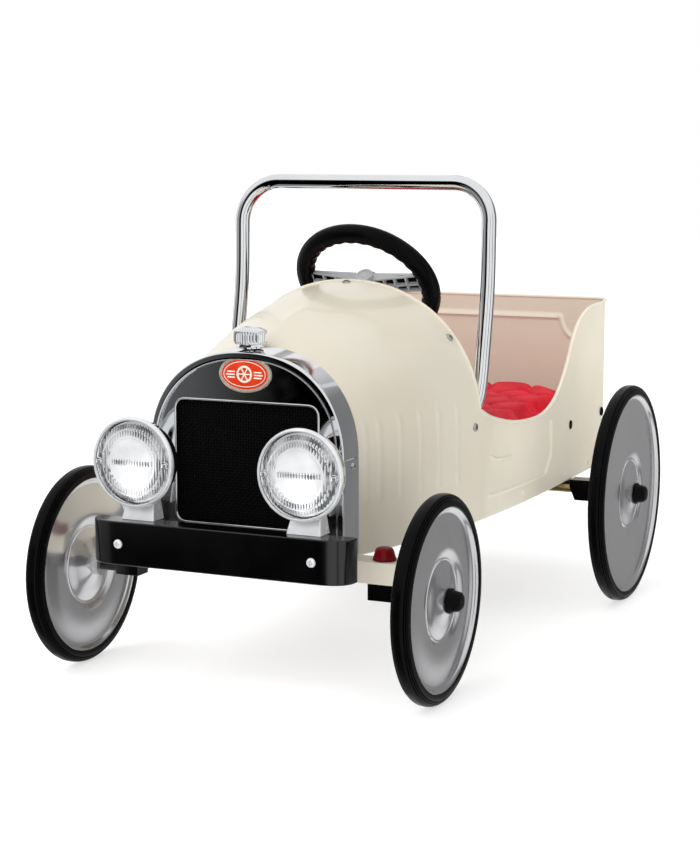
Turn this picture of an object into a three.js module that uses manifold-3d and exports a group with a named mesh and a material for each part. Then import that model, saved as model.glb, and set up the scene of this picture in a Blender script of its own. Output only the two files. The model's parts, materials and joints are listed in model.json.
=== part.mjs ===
// A child's pedal car: a pressed-steel body on a rail chassis, steered front wheels, and a cranked rear axle
// turned by two swinging pedals. Millimetres, +Z up. The car faces -Y and its left side is +X.
import * as THREE from "three";
import { mergeVertices } from "three/addons/utils/BufferGeometryUtils.js";
import Module from "manifold-3d";

// ---- Driving dimensions ----
// Inside the car group, y = 0 is the front axle and z = 0 is the floor.
const FRONT_AXLE_Y = -305; // where the front axle lies when the origin is under the middle of the car
const GAP = 0.3; // clearance between touching pieces
const SHEET = 1.8; // body sheet metal

const WHEELBASE = 533;
const FRONT_WHEEL = { radius: 110, discRadius: 97.8, halfWidth: 10, x: 211.7 };
const REAR_WHEEL = { radius: 136.4, discRadius: 125.6, halfWidth: 10, x: 255.6 };
const AXLE_RADIUS = 5;
const HUB_REACH = 22; // from the wheel's middle plane to the inner end of its hub
const HUB_OUT = 12; // and to its outer end
const HUB_RADIUS = 13;
const DISC_RING_RADIUS = 57; // of the ring pressed into each wheel disc
const DISC_VALLEY_RADIUS = 43; // of the valley between that ring and the cone round the hub
const WHEEL_SIDES = 30;

const SILL_Z = 143;
const HOOD_FRONT = { y: 18, halfWidth: 113, shoulder: 246, top: 361, power: 2.25, ridge: 4 };
const SCUTTLE = { y: 250, halfWidth: 163.5, shoulder: 253, top: 415.5, power: 2.1, ridge: 0 };
const HOOD_SWELL = 0.45; // how much faster than evenly the hood grows just behind the radiator
const RIDGE_HALF = 26; // half width of the pressed ridge along the hood's centre line
const WAIST = { y: 473, halfWidth: 173.5 }; // the tub's widest station
const TAIL = { y: 720, halfWidth: 171.5, top: 366, corner: 14 };
const PANEL_END_Y = 703; // where the side panels meet the rear panel

const RADIATOR = { frontY: -20, halfWidth: 114.5, shoulder: 246, top: 358.5, power: 2.25, base: 146.3, wall: 2.2 };
const RADIATOR_REAR_TOP = 361.5;
const GRILLE = { halfWidth: 84.5, bottom: 172, top: 305.5, corner: 13 };
const BADGE = { halfWidth: 30.5, halfHeight: 19.5, z: 335 };
const CAP = { y: -5, neckRadius: 11.5, neckBase: 361.8, base: 366, radius: 17.5, top: 384 };

const BUMPER = { halfWidth: 151, bottom: 135.6, top: 182.4, frontY: -94, endY: -67, bend: 34, sheet: 2.5 };
const LAMP = { x: 96.5, z: 245, rimRadius: 48, bucketRadius: 44.5, frontY: -90, backY: -46 };
const LAMP_STAND = { topHalf: 15.5, footHalf: 19.5, topZ: 202, frontY: -80, depth: 22 };

const BEAM = { halfLength: 172, halfDepth: 15, bottom: 123, top: 146 };
const KINGPIN = { x: 152, radius: 5, headRadius: 12.5, headTop: 160 };
const STUB_Z = FRONT_WHEEL.radius;
const STEER_ARM = 46; // kingpin to tie rod, to the rear
const TIE_ROD_Z = 114.5;

const COLUMN_TILT = THREE.MathUtils.degToRad(39); // of the steering axis above the horizontal
const STEERING_WHEEL = { y: 303.5, z: 408.8, ringRadius: 78.5, gripRadius: 11.5 };
const COLUMN_RADIUS = 6;
const COLUMN_FOOT_Y = 22;
const PITMAN_ARM = 33;
const DASH_BAR_Y = 236;
const COLUMN_STAY_Y = 66;

const SCREEN = { x: 158.5, radius: 8.5, footX: 150.5, footZ: 178, topY: 295, topZ: 529, corner: 46 };

const RAIL = { inner: 95, outer: 107, bottom: 144.3, top: 160, endY: 690 };
const CRANK = { throw: 34, pinX: 84, pinHalf: 4, web: 3.5 };
const PEDAL = { pivotY: 190, pivotZ: 300, length: 135, leverX: 72, thick: 6 };
const PEDAL_PAD = { inner: 16, outer: 68.7, thick: 16, bottom: 150, top: 200 };
const ROD = { thick: 6, eye: 8.5, halfHeight: 4.5 };
const BEARING = { inner: 185, outer: 214, front: 521, rear: 545, bottom: 124, top: 150 };
const LUG = { front: 550, rear: 572, bottom: 136 }; // the bracket's foot, bolted under the sill behind the axle

const SEAT = { halfWidth: 164, front: 345, rear: 701, panZ: 206, panThick: 2, top: 249 };

// ---- Materials ----
const finish = (color, roughness, metalness) => new THREE.MeshStandardMaterial({ color, roughness, metalness });
const CREAM = finish("#dbd4c2", 0.3, 0);
const CHROME = finish("#d9dadc", 0.08, 1);
const BLACK_PAINT = finish("#0b0b0c", 0.22, 0);
const BLACK_PLASTIC = finish("#161617", 0.45, 0);
const RUBBER = finish("#141414", 0.6, 0);
const SILVER_PAINT = finish("#9c9c9e", 0.32, 0.35);
const GREY_PLASTIC = finish("#8d8e90", 0.4, 0.1);
const ENAMEL = finish("#d8401d", 0.2, 0);
const GLASS = finish("#eef1f2", 0.08, 0);
const RED_PLASTIC = finish("#6d0d12", 0.3, 0);
const RED_CLOTH = finish("#b3122a", 0.8, 0);
const ZINC = finish("#a8924f", 0.35, 0.8);
const STEEL = finish("#55565a", 0.4, 0.8);

// ---- Solids and booleans ----
const wasm = await Module();
wasm.setup();

function solid(geometry) {
  const loose = geometry.index ? geometry.toNonIndexed() : geometry;
  const bare = new THREE.BufferGeometry();
  bare.setAttribute("position", loose.getAttribute("position"));
  const merged = mergeVertices(bare, 1e-4);
  return new wasm.Manifold(
    new wasm.Mesh({
      numProp: 3,
      vertProperties: merged.attributes.position.array,
      triVerts: new Uint32Array(merged.index.array),
    }),
  );
}

function geometryOf(manifold) {
  const mesh = manifold.getMesh();
  const geometry = new THREE.BufferGeometry();
  geometry.setAttribute("position", new THREE.BufferAttribute(mesh.vertProperties, 3));
  geometry.setIndex(new THREE.BufferAttribute(mesh.triVerts, 1));
  geometry.computeVertexNormals();
  return geometry;
}

function join(...geometries) {
  return geometryOf(geometries.map(solid).reduce((all, next) => all.add(next)));
}

function cut(body, ...tools) {
  return geometryOf(tools.map(solid).reduce((left, tool) => left.subtract(tool), solid(body)));
}

// Turns every face round when the closed surface encloses a negative volume.
function facingOut(geometry) {
  const index = geometry.index.array;
  const at = geometry.getAttribute("position");
  const corner = (i) => new THREE.Vector3().fromBufferAttribute(at, index[i]);
  let volume = 0;
  for (let i = 0; i < index.length; i += 3) volume += corner(i).dot(corner(i + 1).cross(corner(i + 2)));
  if (volume < 0) {
    for (let i = 0; i < index.length; i += 3) [index[i + 1], index[i + 2]] = [index[i + 2], index[i + 1]];
  }
  geometry.computeVertexNormals();
  return geometry;
}

// ---- Simple shapes ----
function box(x0, x1, y0, y1, z0, z1) {
  return new THREE.BoxGeometry(x1 - x0, y1 - y0, z1 - z0).translate((x0 + x1) / 2, (y0 + y1) / 2, (z0 + z1) / 2);
}

function bar(radius, from, to, sides = 16) {
  const start = new THREE.Vector3(...from);
  const along = new THREE.Vector3(...to).sub(start);
  const turn = new THREE.Quaternion().setFromUnitVectors(new THREE.Vector3(0, 1, 0), along.clone().normalize());
  const geometry = new THREE.CylinderGeometry(radius, radius, along.length(), sides);
  geometry.translate(0, along.length() / 2, 0);
  geometry.applyQuaternion(turn);
  return geometry.translate(start.x, start.y, start.z);
}

// Turns a profile of [distance along the axis, radius] pairs about the axis, which ends up along +X.
// A profile that starts off the axis closes on itself, as a ring.
function turned(profile, sides) {
  const closed = profile[0][1] > 0 ? [...profile, profile[0]] : profile;
  const points = closed.map(([along, radius]) => new THREE.Vector2(radius, along));
  return facingOut(new THREE.LatheGeometry(points, sides).rotateZ(-Math.PI / 2));
}

const alongMinusY = (geometry) => geometry.rotateZ(-Math.PI / 2);
const alongPlusZ = (geometry) => geometry.rotateY(-Math.PI / 2);

// A solid through closed rings of equal length; each end ring is flat across the given pair of axes.
function loft(rings, u, v) {
  const count = rings[0].length;
  const positions = rings.flatMap((ring) => ring.flatMap((p) => p.toArray()));
  const triangles = [];
  for (let r = 0; r + 1 < rings.length; r++) {
    for (let i = 0; i < count; i++) {
      const a = r * count + i;
      const b = r * count + ((i + 1) % count);
      triangles.push(a, b, b + count, a, b + count, a + count);
    }
  }
  const flat = rings[0].map((p) => new THREE.Vector2(p[u], p[v]));
  const turnedLeft = THREE.ShapeUtils.area(flat) > 0;
  const last = (rings.length - 1) * count;
  for (const [a, b, c] of THREE.ShapeUtils.triangulateShape(flat, [])) {
    const [p, q] = turnedLeft ? [b, c] : [c, b];
    triangles.push(a, turnedLeft ? q : p, turnedLeft ? p : q);
    triangles.push(last + a, last + (turnedLeft ? p : q), last + (turnedLeft ? q : p));
  }
  const geometry = new THREE.BufferGeometry();
  geometry.setAttribute("position", new THREE.Float32BufferAttribute(positions, 3));
  geometry.setIndex(triangles);
  return facingOut(geometry);
}

// A flat outline drawn in x and z, made into a plate from y0 back to y1.
function plateXZ(shape, y0, y1, curveSegments = 12) {
  const geometry = new THREE.ExtrudeGeometry(shape, { depth: y1 - y0, bevelEnabled: false, curveSegments });
  return geometry.rotateX(Math.PI / 2).translate(0, y1, 0);
}

// A flat outline drawn in x and y, made into a plate from z0 up to z1.
function plateXY(shape, z0, z1, curveSegments = 8) {
  const geometry = new THREE.ExtrudeGeometry(shape, { depth: z1 - z0, bevelEnabled: false, curveSegments });
  return geometry.translate(0, 0, z0);
}

function roundedRect(target, x0, x1, y0, y1, radius) {
  target.moveTo(x0 + radius, y0);
  target.lineTo(x1 - radius, y0);
  target.absarc(x1 - radius, y0 + radius, radius, -Math.PI / 2, 0, false);
  target.lineTo(x1, y1 - radius);
  target.absarc(x1 - radius, y1 - radius, radius, 0, Math.PI / 2, false);
  target.lineTo(x0 + radius, y1);
  target.absarc(x0 + radius, y1 - radius, radius, Math.PI / 2, Math.PI, false);
  target.lineTo(x0, y0 + radius);
  target.absarc(x0 + radius, y0 + radius, radius, Math.PI, 1.5 * Math.PI, false);
  return target;
}

// ---- The scene graph ----
const root = new THREE.Group();
const car = new THREE.Group();
car.position.y = FRONT_AXLE_Y;
root.add(car);

function add(name, geometry, material, parent = car) {
  const mesh = new THREE.Mesh(geometry, material);
  mesh.name = name;
  parent.add(mesh);
  return mesh;
}

const SIDES = [
  { side: "left", sign: 1 },
  { side: "right", sign: -1 },
];

const mirrored = (geometry, sign) => (sign > 0 ? geometry : facingOut(geometry.clone().scale(-1, 1, 1)));

// ---- Body ----
// Half of a body arch from the foot at +x up to the crown: a superellipse over straight sides.
function archHalf(arch, inset, foot, steps) {
  const a = arch.halfWidth - inset;
  const b = arch.top - arch.shoulder - inset;
  const points = [new THREE.Vector2(a, foot)];
  for (let i = 0; i <= steps; i++) {
    const angle = (i / steps) * (Math.PI / 2);
    const x = a * Math.max(0, Math.cos(angle)) ** (2 / arch.power);
    const crease = arch.ridge ? arch.ridge * Math.max(0, 1 - x / RIDGE_HALF) ** 2 : 0;
    points.push(new THREE.Vector2(i === steps ? 0 : x, arch.shoulder + b * Math.sin(angle) ** (2 / arch.power) + crease));
  }
  return points;
}

function archRing(arch, wall, foot, y, steps) {
  const whole = (inset) => {
    const half = archHalf(arch, inset, foot, steps);
    return [...half, ...half.slice(0, -1).reverse().map((p) => new THREE.Vector2(-p.x, p.y))];
  };
  return [...whole(0), ...whole(wall).reverse()].map((p) => new THREE.Vector3(p.x, y, p.y));
}

function between(from, to, share) {
  const mixed = {};
  for (const key of Object.keys(to)) mixed[key] = THREE.MathUtils.lerp(from[key], to[key], share);
  return mixed;
}

function hoodShell() {
  const rings = [];
  for (const share of [0, 0.17, 0.33, 0.5, 0.75, 1]) {
    const arch = between(HOOD_FRONT, SCUTTLE, share + HOOD_SWELL * share * (1 - share));
    const y = THREE.MathUtils.lerp(HOOD_FRONT.y, SCUTTLE.y, share);
    arch.ridge = HOOD_FRONT.ridge * (1 - share);
    rings.push(archRing(arch, SHEET, SILL_Z, y + (share === 0 ? GAP : 0), 16));
  }
  return loft(rings, "x", "z");
}

function tubHalfWidth(y) {
  const ahead = y < WAIST.y;
  const end = ahead ? SCUTTLE : TAIL;
  const share = (y - WAIST.y) / (end.y - WAIST.y);
  return WAIST.halfWidth - (WAIST.halfWidth - end.halfWidth) * share ** 2;
}

// The side's upper edge: from the scuttle down into the doorway and up to the tail.
const SIDE_TOP = new THREE.SplineCurve([
  new THREE.Vector2(SCUTTLE.y, 274),
  new THREE.Vector2(330, 249.5),
  new THREE.Vector2(420, 241.5),
  new THREE.Vector2(493, 255),
  new THREE.Vector2(543, 294),
  new THREE.Vector2(582, 338),
  new THREE.Vector2(625, 357),
  new THREE.Vector2(PANEL_END_Y, TAIL.top - 3.5),
]);

function sidePanel() {
  const rings = SIDE_TOP.getPoints(28).map((p, i) => {
    const y = p.x + (i === 0 ? GAP : 0);
    const x = tubHalfWidth(y);
    return [
      new THREE.Vector3(x, y, SILL_Z),
      new THREE.Vector3(x, y, p.y),
      new THREE.Vector3(x - SHEET, y, p.y),
      new THREE.Vector3(x - SHEET, y, SILL_Z),
    ];
  });
  return loft(rings, "x", "z");
}

// The rear panel wraps round both tail corners as a strip of sheet.
function rearPanel() {
  const a = TAIL.halfWidth;
  const c = TAIL.corner;
  const y0 = PANEL_END_Y + GAP;
  const shape = new THREE.Shape();
  shape.moveTo(a, y0);
  shape.absarc(a - c, TAIL.y - c, c, 0, Math.PI / 2, false);
  shape.absarc(-a + c, TAIL.y - c, c, Math.PI / 2, Math.PI, false);
  shape.lineTo(-a, y0);
  shape.lineTo(-a + SHEET, y0);
  shape.absarc(-a + c, TAIL.y - c, c - SHEET, Math.PI, Math.PI / 2, true);
  shape.absarc(a - c, TAIL.y - c, c - SHEET, Math.PI / 2, 0, true);
  shape.lineTo(a - SHEET, y0);
  return plateXY(shape, SILL_Z, TAIL.top, 6);
}

add("hood_shell", hoodShell(), CREAM);
for (const { side, sign } of SIDES) add(`side_panel_${side}`, mirrored(sidePanel(), sign), CREAM);
add("rear_panel", rearPanel(), CREAM);

// ---- Radiator ----
function radiatorShell() {
  const rear = { ...RADIATOR, top: RADIATOR_REAR_TOP };
  return loft(
    [
      archRing(RADIATOR, RADIATOR.wall, RADIATOR.base, RADIATOR.frontY, 16),
      archRing(rear, RADIATOR.wall, RADIATOR.base, HOOD_FRONT.y, 16),
    ],
    "x",
    "z",
  );
}

function radiatorFace() {
  const half = archHalf(RADIATOR, RADIATOR.wall + GAP, RADIATOR.base, 16);
  const outline = [...half, ...half.slice(0, -1).reverse().map((p) => new THREE.Vector2(-p.x, p.y))];
  const shape = new THREE.Shape(outline);
  const hole = new THREE.Path();
  roundedRect(hole, -GRILLE.halfWidth, GRILLE.halfWidth, GRILLE.bottom, GRILLE.top, GRILLE.corner);
  shape.holes.push(hole);
  return plateXZ(shape, RADIATOR.frontY + 3, RADIATOR.frontY + 4.8, 5);
}

const FACE_FRONT_Y = RADIATOR.frontY + 3;
const grilleOutline = roundedRect(
  new THREE.Shape(),
  -GRILLE.halfWidth - 5,
  GRILLE.halfWidth + 5,
  GRILLE.bottom - 5,
  GRILLE.top + 5,
  GRILLE.corner,
);
const badgeOutline = new THREE.Shape().absellipse(0, BADGE.z, BADGE.halfWidth, BADGE.halfHeight, 0, 2 * Math.PI);
const capProfile = [
  [CAP.neckBase, 0],
  [CAP.neckBase, CAP.neckRadius],
  [CAP.base, CAP.neckRadius],
  [CAP.base, CAP.radius],
  [CAP.top - 3, CAP.radius],
  [CAP.top, CAP.radius - 3],
  [CAP.top, 0],
];

add("radiator_shell", radiatorShell(), CHROME);
add("radiator_face", radiatorFace(), CHROME);
add("grille_mesh", plateXZ(grilleOutline, FACE_FRONT_Y + 2.1, FACE_FRONT_Y + 3.6, 5), BLACK_PAINT);
add("badge", plateXZ(badgeOutline, FACE_FRONT_Y - 2.5, FACE_FRONT_Y - GAP, 20), ENAMEL);
add("radiator_cap", alongPlusZ(turned(capProfile, 24)), CHROME).position.y = CAP.y;

// ---- Bumper ----
// Front edge of the bumper in plan: straight across, swept back at both ends.
function bumperEdge(inset) {
  const a = BUMPER.halfWidth - inset;
  const front = BUMPER.frontY + inset;
  const start = new THREE.Vector2(a, BUMPER.endY);
  const sweep = new THREE.QuadraticBezierCurve(
    start,
    new THREE.Vector2(a, front),
    new THREE.Vector2(a - BUMPER.bend, front),
  );
  const half = sweep.getPoints(6);
  return [...half, ...half.map((p) => new THREE.Vector2(-p.x, p.y)).reverse()];
}

function bumper() {
  const outer = bumperEdge(0);
  const web = new THREE.Shape([...outer, ...bumperEdge(BUMPER.sheet).reverse()]);
  const flange = new THREE.Shape(outer);
  return join(
    plateXY(web, BUMPER.bottom, BUMPER.top),
    plateXY(flange, BUMPER.top - BUMPER.sheet, BUMPER.top),
  );
}

function bumperArm() {
  const x0 = 98;
  const x1 = 116;
  const front = BUMPER.frontY + BUMPER.sheet + GAP;
  const rear = -BEAM.halfDepth - GAP;
  return join(
    box(x0, x1, front, front + 4, 138, 172),
    box(x0, x1, front, rear, 138, 142),
    box(x0, x1, rear - 4, rear, 125, 142),
  );
}

add("bumper", bumper(), BLACK_PAINT);
for (const { side, sign } of SIDES) add(`bumper_arm_${side}`, mirrored(bumperArm(), sign), STEEL);

// ---- Headlamps ----
// Profiles run along the lamp's axis, counted backwards from the front of its rim.
const depth = LAMP.backY - LAMP.frontY;
const bucketProfile = [
  [-depth, 0],
  [-depth, LAMP.bucketRadius - 26],
  [-depth + 8, LAMP.bucketRadius - 11],
  [-depth + 22, LAMP.bucketRadius - 1.5],
  [-8, LAMP.bucketRadius],
  [-8, LAMP.bucketRadius - 2],
  [-depth + 23, LAMP.bucketRadius - 3.5],
  [-depth + 10, LAMP.bucketRadius - 13],
  [-depth + 2, LAMP.bucketRadius - 27],
  [-depth + 2, 0],
];
const reflectorProfile = [
  [-31, 0],
  [-29, LAMP.bucketRadius - 21],
  [-21.5, LAMP.bucketRadius - 8],
  [-10, LAMP.bucketRadius - 2.5],
  [-8.5, LAMP.bucketRadius - 3],
  [-20, LAMP.bucketRadius - 10],
  [-27, LAMP.bucketRadius - 22],
  [-29, 0],
];
const rimProfile = [
  [-7.7, LAMP.bucketRadius - 3],
  [-7.7, LAMP.rimRadius],
  [-2, LAMP.rimRadius],
  [0, LAMP.rimRadius - 2],
  [0, LAMP.rimRadius - 4],
  [-3, LAMP.rimRadius - 5],
];
const lensProfile = [
  [-4, 0],
  [-4, LAMP.rimRadius - 6],
  [-1, LAMP.rimRadius - 6],
  [3, 26],
  [5, 0],
];

function lampStand() {
  const foot = BUMPER.top + GAP;
  const taper = new THREE.Shape([
    new THREE.Vector2(-LAMP_STAND.footHalf, foot),
    new THREE.Vector2(LAMP_STAND.footHalf, foot),
    new THREE.Vector2(LAMP_STAND.topHalf, LAMP_STAND.topZ + 6),
    new THREE.Vector2(-LAMP_STAND.topHalf, LAMP_STAND.topZ + 6),
  ]);
  const block = plateXZ(taper, LAMP_STAND.frontY, LAMP_STAND.frontY + LAMP_STAND.depth);
  const lampSpace = bar(LAMP.bucketRadius + GAP, [0, LAMP.frontY, LAMP.z], [0, LAMP.backY, LAMP.z], 40);
  return cut(block, lampSpace);
}

for (const { side, sign } of SIDES) {
  const lamp = new THREE.Group();
  lamp.position.set(sign * LAMP.x, LAMP.frontY, LAMP.z);
  car.add(lamp);
  add(`headlamp_bucket_${side}`, alongMinusY(turned(bucketProfile, 24)), CHROME, lamp);
  add(`headlamp_reflector_${side}`, alongMinusY(turned(reflectorProfile, 24)), CHROME, lamp);
  add(`headlamp_rim_${side}`, alongMinusY(turned(rimProfile, 24)), CHROME, lamp);
  add(`headlamp_lens_${side}`, alongMinusY(turned(lensProfile, 24)), GLASS, lamp);
  add(`headlamp_stand_${side}`, lampStand(), CHROME).position.x = sign * LAMP.x;
}

// ---- Windscreen frame ----
// One bent tube: up from inside the scuttle, raked back, across the top and down again.
function windscreenFrame() {
  const { x, footX, footZ, topY, topZ, corner } = SCREEN;
  const side = [
    [footX, 254.5, footZ],
    [footX, 254.5, 258],
    [x - 1, 261, 292],
    [x, 271, 340],
    [x, 283.5, 410],
    [x, topY - 8.5, topZ - corner],
  ].map((p) => new THREE.Vector3(...p));
  const bend = [];
  for (let i = 1; i <= 5; i++) {
    const angle = (i / 6) * (Math.PI / 2);
    const across = x - corner * (1 - Math.cos(angle));
    const up = topZ - corner * (1 - Math.sin(angle));
    bend.push(new THREE.Vector3(across, topY - 8.5 * (1 - Math.sin(angle)), up));
  }
  const half = [...side, ...bend, new THREE.Vector3(x - corner, topY, topZ)];
  const route = [...half, ...half.map((p) => new THREE.Vector3(-p.x, p.y, p.z)).reverse()];
  const curve = new THREE.CatmullRomCurve3(route, false, "centripetal");
  const section = new THREE.Shape().absarc(0, 0, SCREEN.radius, 0, 2 * Math.PI);
  return new THREE.ExtrudeGeometry(section, { extrudePath: curve, steps: 44, curveSegments: 5 });
}

add("windscreen_frame", windscreenFrame(), CHROME);

// ---- Steering ----
// The column group's +X axis is the steering axis, pointing up and back to the driver.
const column = new THREE.Group();
column.position.set(0, STEERING_WHEEL.y, STEERING_WHEEL.z);
column.quaternion.setFromRotationMatrix(
  new THREE.Matrix4().makeBasis(
    new THREE.Vector3(0, Math.cos(COLUMN_TILT), Math.sin(COLUMN_TILT)),
    new THREE.Vector3(-1, 0, 0),
    new THREE.Vector3(0, -Math.sin(COLUMN_TILT), Math.cos(COLUMN_TILT)),
  ),
);
car.add(column);
const columnZ = (y) => STEERING_WHEEL.z - (STEERING_WHEEL.y - y) * Math.tan(COLUMN_TILT);
const columnLength = (STEERING_WHEEL.y - COLUMN_FOOT_Y) / Math.cos(COLUMN_TILT);

// Two ribbed arms and a round boss inside the rim. In this group the arms run along Y.
function steeringSpokes() {
  const reach = STEERING_WHEEL.ringRadius - STEERING_WHEEL.gripRadius - 5 * GAP;
  const arm = new THREE.Shape([
    new THREE.Vector2(-reach, -11),
    new THREE.Vector2(0, -17),
    new THREE.Vector2(reach, -11),
    new THREE.Vector2(reach, 9),
    new THREE.Vector2(0, 15),
    new THREE.Vector2(-reach, 9),
  ]);
  const plate = new THREE.ExtrudeGeometry(arm, { depth: 4, bevelEnabled: false });
  plate.applyMatrix4(
    new THREE.Matrix4().makeBasis(
      new THREE.Vector3(0, 1, 0),
      new THREE.Vector3(0, 0, 1),
      new THREE.Vector3(1, 0, 0),
    ),
  );
  plate.translate(-1, 0, 0);
  const parts = [plate, bar(18, [-14, 0, 0], [5, 0, 0], 24)];
  for (const sign of [1, -1]) {
    parts.push(box(-9, 0, sign * 16 - (sign < 0 ? reach - 16 : 0), sign * 16 + (sign > 0 ? reach - 16 : 0), -2, 0));
    parts.push(box(-9, 0, sign * 42 - 1, sign * 42 + 1, -12, 10));
  }
  return cut(join(...parts), bar(COLUMN_RADIUS + GAP, [-20, 0, 0], [-4, 0, 0], 16));
}

function steeringColumn() {
  const foot = -columnLength;
  const arm = box(foot - 2, foot + 3, -4, 4, -PITMAN_ARM, 0);
  return join(
    bar(COLUMN_RADIUS, [foot - 2, 0, 0], [-4.5, 0, 0], 16),
    arm,
    new THREE.SphereGeometry(4.5, 12, 8).translate(foot, 0, -PITMAN_ARM),
  );
}

const ring = new THREE.TorusGeometry(STEERING_WHEEL.ringRadius, STEERING_WHEEL.gripRadius, 8, 32).rotateY(Math.PI / 2);
add("steering_wheel_rim", ring, BLACK_PLASTIC, column);
add("steering_wheel_spokes", steeringSpokes(), GREY_PLASTIC, column);
const hubProfile = [
  [5.3, 0],
  [5.3, 15],
  [8, 14],
  [10, 9],
  [10, 0],
];
add("steering_hub_cap", turned(hubProfile, 24), GREY_PLASTIC, column);
add("steering_column", steeringColumn(), STEEL, column);

function columnHole(y) {
  return bar(COLUMN_RADIUS + 3.5, [0, y - 10, columnZ(y)], [0, y + 10, columnZ(y)], 20);
}

function dashBar() {
  const z = columnZ(DASH_BAR_Y + 1.5);
  return cut(box(-106, 106, DASH_BAR_Y, DASH_BAR_Y + 3, z - 14, z + 14), columnHole(DASH_BAR_Y + 1.5));
}

function columnStay() {
  const z = columnZ(COLUMN_STAY_Y + 1.5);
  const plate = box(-20, 20, COLUMN_STAY_Y, COLUMN_STAY_Y + 3, 152.6, z + 17);
  return cut(plate, columnHole(COLUMN_STAY_Y + 1.5));
}

add("dash_crossbar", dashBar(), STEEL);
add("column_stay", columnStay(), STEEL);

// ---- Front axle ----
function frontBeam() {
  const hole = (x) => bar(KINGPIN.radius + GAP, [x, 0, BEAM.bottom - 5], [x, 0, BEAM.top + 5], 20);
  const beam = box(-BEAM.halfLength, BEAM.halfLength, -BEAM.halfDepth, BEAM.halfDepth, BEAM.bottom, BEAM.top);
  return cut(beam, hole(KINGPIN.x), hole(-KINGPIN.x));
}

// Kingpin, block, stub axle and the arm that the tie rod moves.
function knuckle() {
  const x = KINGPIN.x;
  const outerEnd = FRONT_WHEEL.x + HUB_OUT - 0.5;
  return join(
    bar(KINGPIN.radius, [x, 0, BEAM.bottom - 4], [x, 0, BEAM.top], 16),
    box(x - 15, x + 14, -11, 11, 104, BEAM.bottom - 0.5),
    bar(AXLE_RADIUS, [x, 0, STUB_Z], [outerEnd, 0, STUB_Z], 16),
    box(x - 6, x + 6, 0, STEER_ARM + 6, 104, 109.5),
  );
}

// The tie rod runs over both arms; the fork in its middle takes the ball on the column's foot.
function tieRod() {
  const end = KINGPIN.x + 4;
  const parts = [bar(4, [-end, STEER_ARM, TIE_ROD_Z], [end, STEER_ARM, TIE_ROD_Z], 12)];
  parts.push(box(-13, 13, STEER_ARM - 12, STEER_ARM + 8, TIE_ROD_Z - 4, TIE_ROD_Z + 4));
  for (const x of [-13, 10]) parts.push(box(x, x + 3, STEER_ARM - 12, STEER_ARM + 8, TIE_ROD_Z, 162));
  return join(...parts);
}

const kingpinHead = [
  [BEAM.top + GAP, 0],
  [BEAM.top + GAP, KINGPIN.headRadius],
  [KINGPIN.headTop - 5, KINGPIN.headRadius - 1.5],
  [KINGPIN.headTop - 1, KINGPIN.headRadius - 5],
  [KINGPIN.headTop, 0],
];

add("front_axle_beam", frontBeam(), CREAM);
add("tie_rod", tieRod(), STEEL);
for (const { side, sign } of SIDES) {
  add(`knuckle_${side}`, mirrored(knuckle(), sign), BLACK_PAINT);
  add(`kingpin_cap_${side}`, alongPlusZ(turned(kingpinHead, 20)), RED_PLASTIC).position.x = sign * KINGPIN.x;
}

// ---- Wheels ----
// Profiles run outwards along the wheel's axis from its middle plane.
function tyreProfile({ radius, discRadius, halfWidth }) {
  return [
    [-halfWidth, discRadius + 2],
    [-halfWidth, radius - 5],
    [-halfWidth + 4, radius],
    [halfWidth - 4, radius],
    [halfWidth, radius - 5],
    [halfWidth, discRadius + 2],
    [halfWidth - 3, discRadius + GAP],
    [-halfWidth + 3, discRadius + GAP],
  ];
}

// Two pressed halves closed face to face round one long hub. Each face falls from its rim, rises to a ring,
// falls again to a valley and rises as a cone to the hub.
function discProfile({ discRadius }) {
  const face = [
    [7.5, discRadius],
    [3.5, discRadius - 8],
    [6.5, DISC_RING_RADIUS],
    [3, DISC_VALLEY_RADIUS],
    [10.5, HUB_RADIUS + 2],
  ];
  const back = face.map(([along, radius]) => [-along, radius]).reverse();
  const bore = AXLE_RADIUS + 0.4;
  const core = [
    [HUB_OUT, HUB_RADIUS],
    [HUB_OUT, bore],
    [-HUB_REACH, bore],
    [-HUB_REACH, HUB_RADIUS],
  ];
  return [...face, ...core, ...back];
}

const hubCapProfile = [
  [HUB_OUT + GAP, 0],
  [HUB_OUT + GAP, 13.5],
  [HUB_OUT + 4, 13.5],
  [HUB_OUT + 5, 11.5],
  [HUB_OUT + 13, 10],
  [HUB_OUT + 15, 7],
  [HUB_OUT + 15, 0],
];

for (const { side, sign } of SIDES) {
  for (const [end, size, y] of [["front", FRONT_WHEEL, 0], ["rear", REAR_WHEEL, WHEELBASE]]) {
    const wheel = new THREE.Group();
    wheel.position.set(sign * size.x, y, size.radius);
    wheel.rotation.z = sign > 0 ? 0 : Math.PI;
    car.add(wheel);
    add(`${end}_tyre_${side}`, turned(tyreProfile(size), WHEEL_SIDES), RUBBER, wheel);
    add(`${end}_disc_${side}`, turned(discProfile(size), WHEEL_SIDES), SILVER_PAINT, wheel);
    add(`${end}_hub_cap_${side}`, turned(hubCapProfile, 16), BLACK_PLASTIC, wheel);
  }
}

// ---- Chassis ----
function chassisFrame() {
  const parts = [];
  for (const sign of [1, -1]) {
    const edges = [sign * RAIL.inner, sign * RAIL.outer].sort((p, q) => p - q);
    parts.push(box(...edges, BEAM.halfDepth + GAP, RAIL.endY, RAIL.bottom, RAIL.top));
    for (const y of [221, 381]) {
      const reach = [sign * (RAIL.outer - 2), sign * (tubHalfWidth(Math.max(y, SCUTTLE.y)) - 9)];
      if (y < SCUTTLE.y) reach[1] = sign * 150;
      reach.sort((p, q) => p - q);
      parts.push(box(...reach, y - 12, y + 12, RAIL.top - 10, RAIL.top));
    }
  }
  parts.push(box(-RAIL.outer, RAIL.outer, 60, 75, RAIL.bottom - 3, 152.3));
  parts.push(box(-164, 164, 640, 660, RAIL.bottom + 3, RAIL.top));
  return join(...parts);
}

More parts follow.
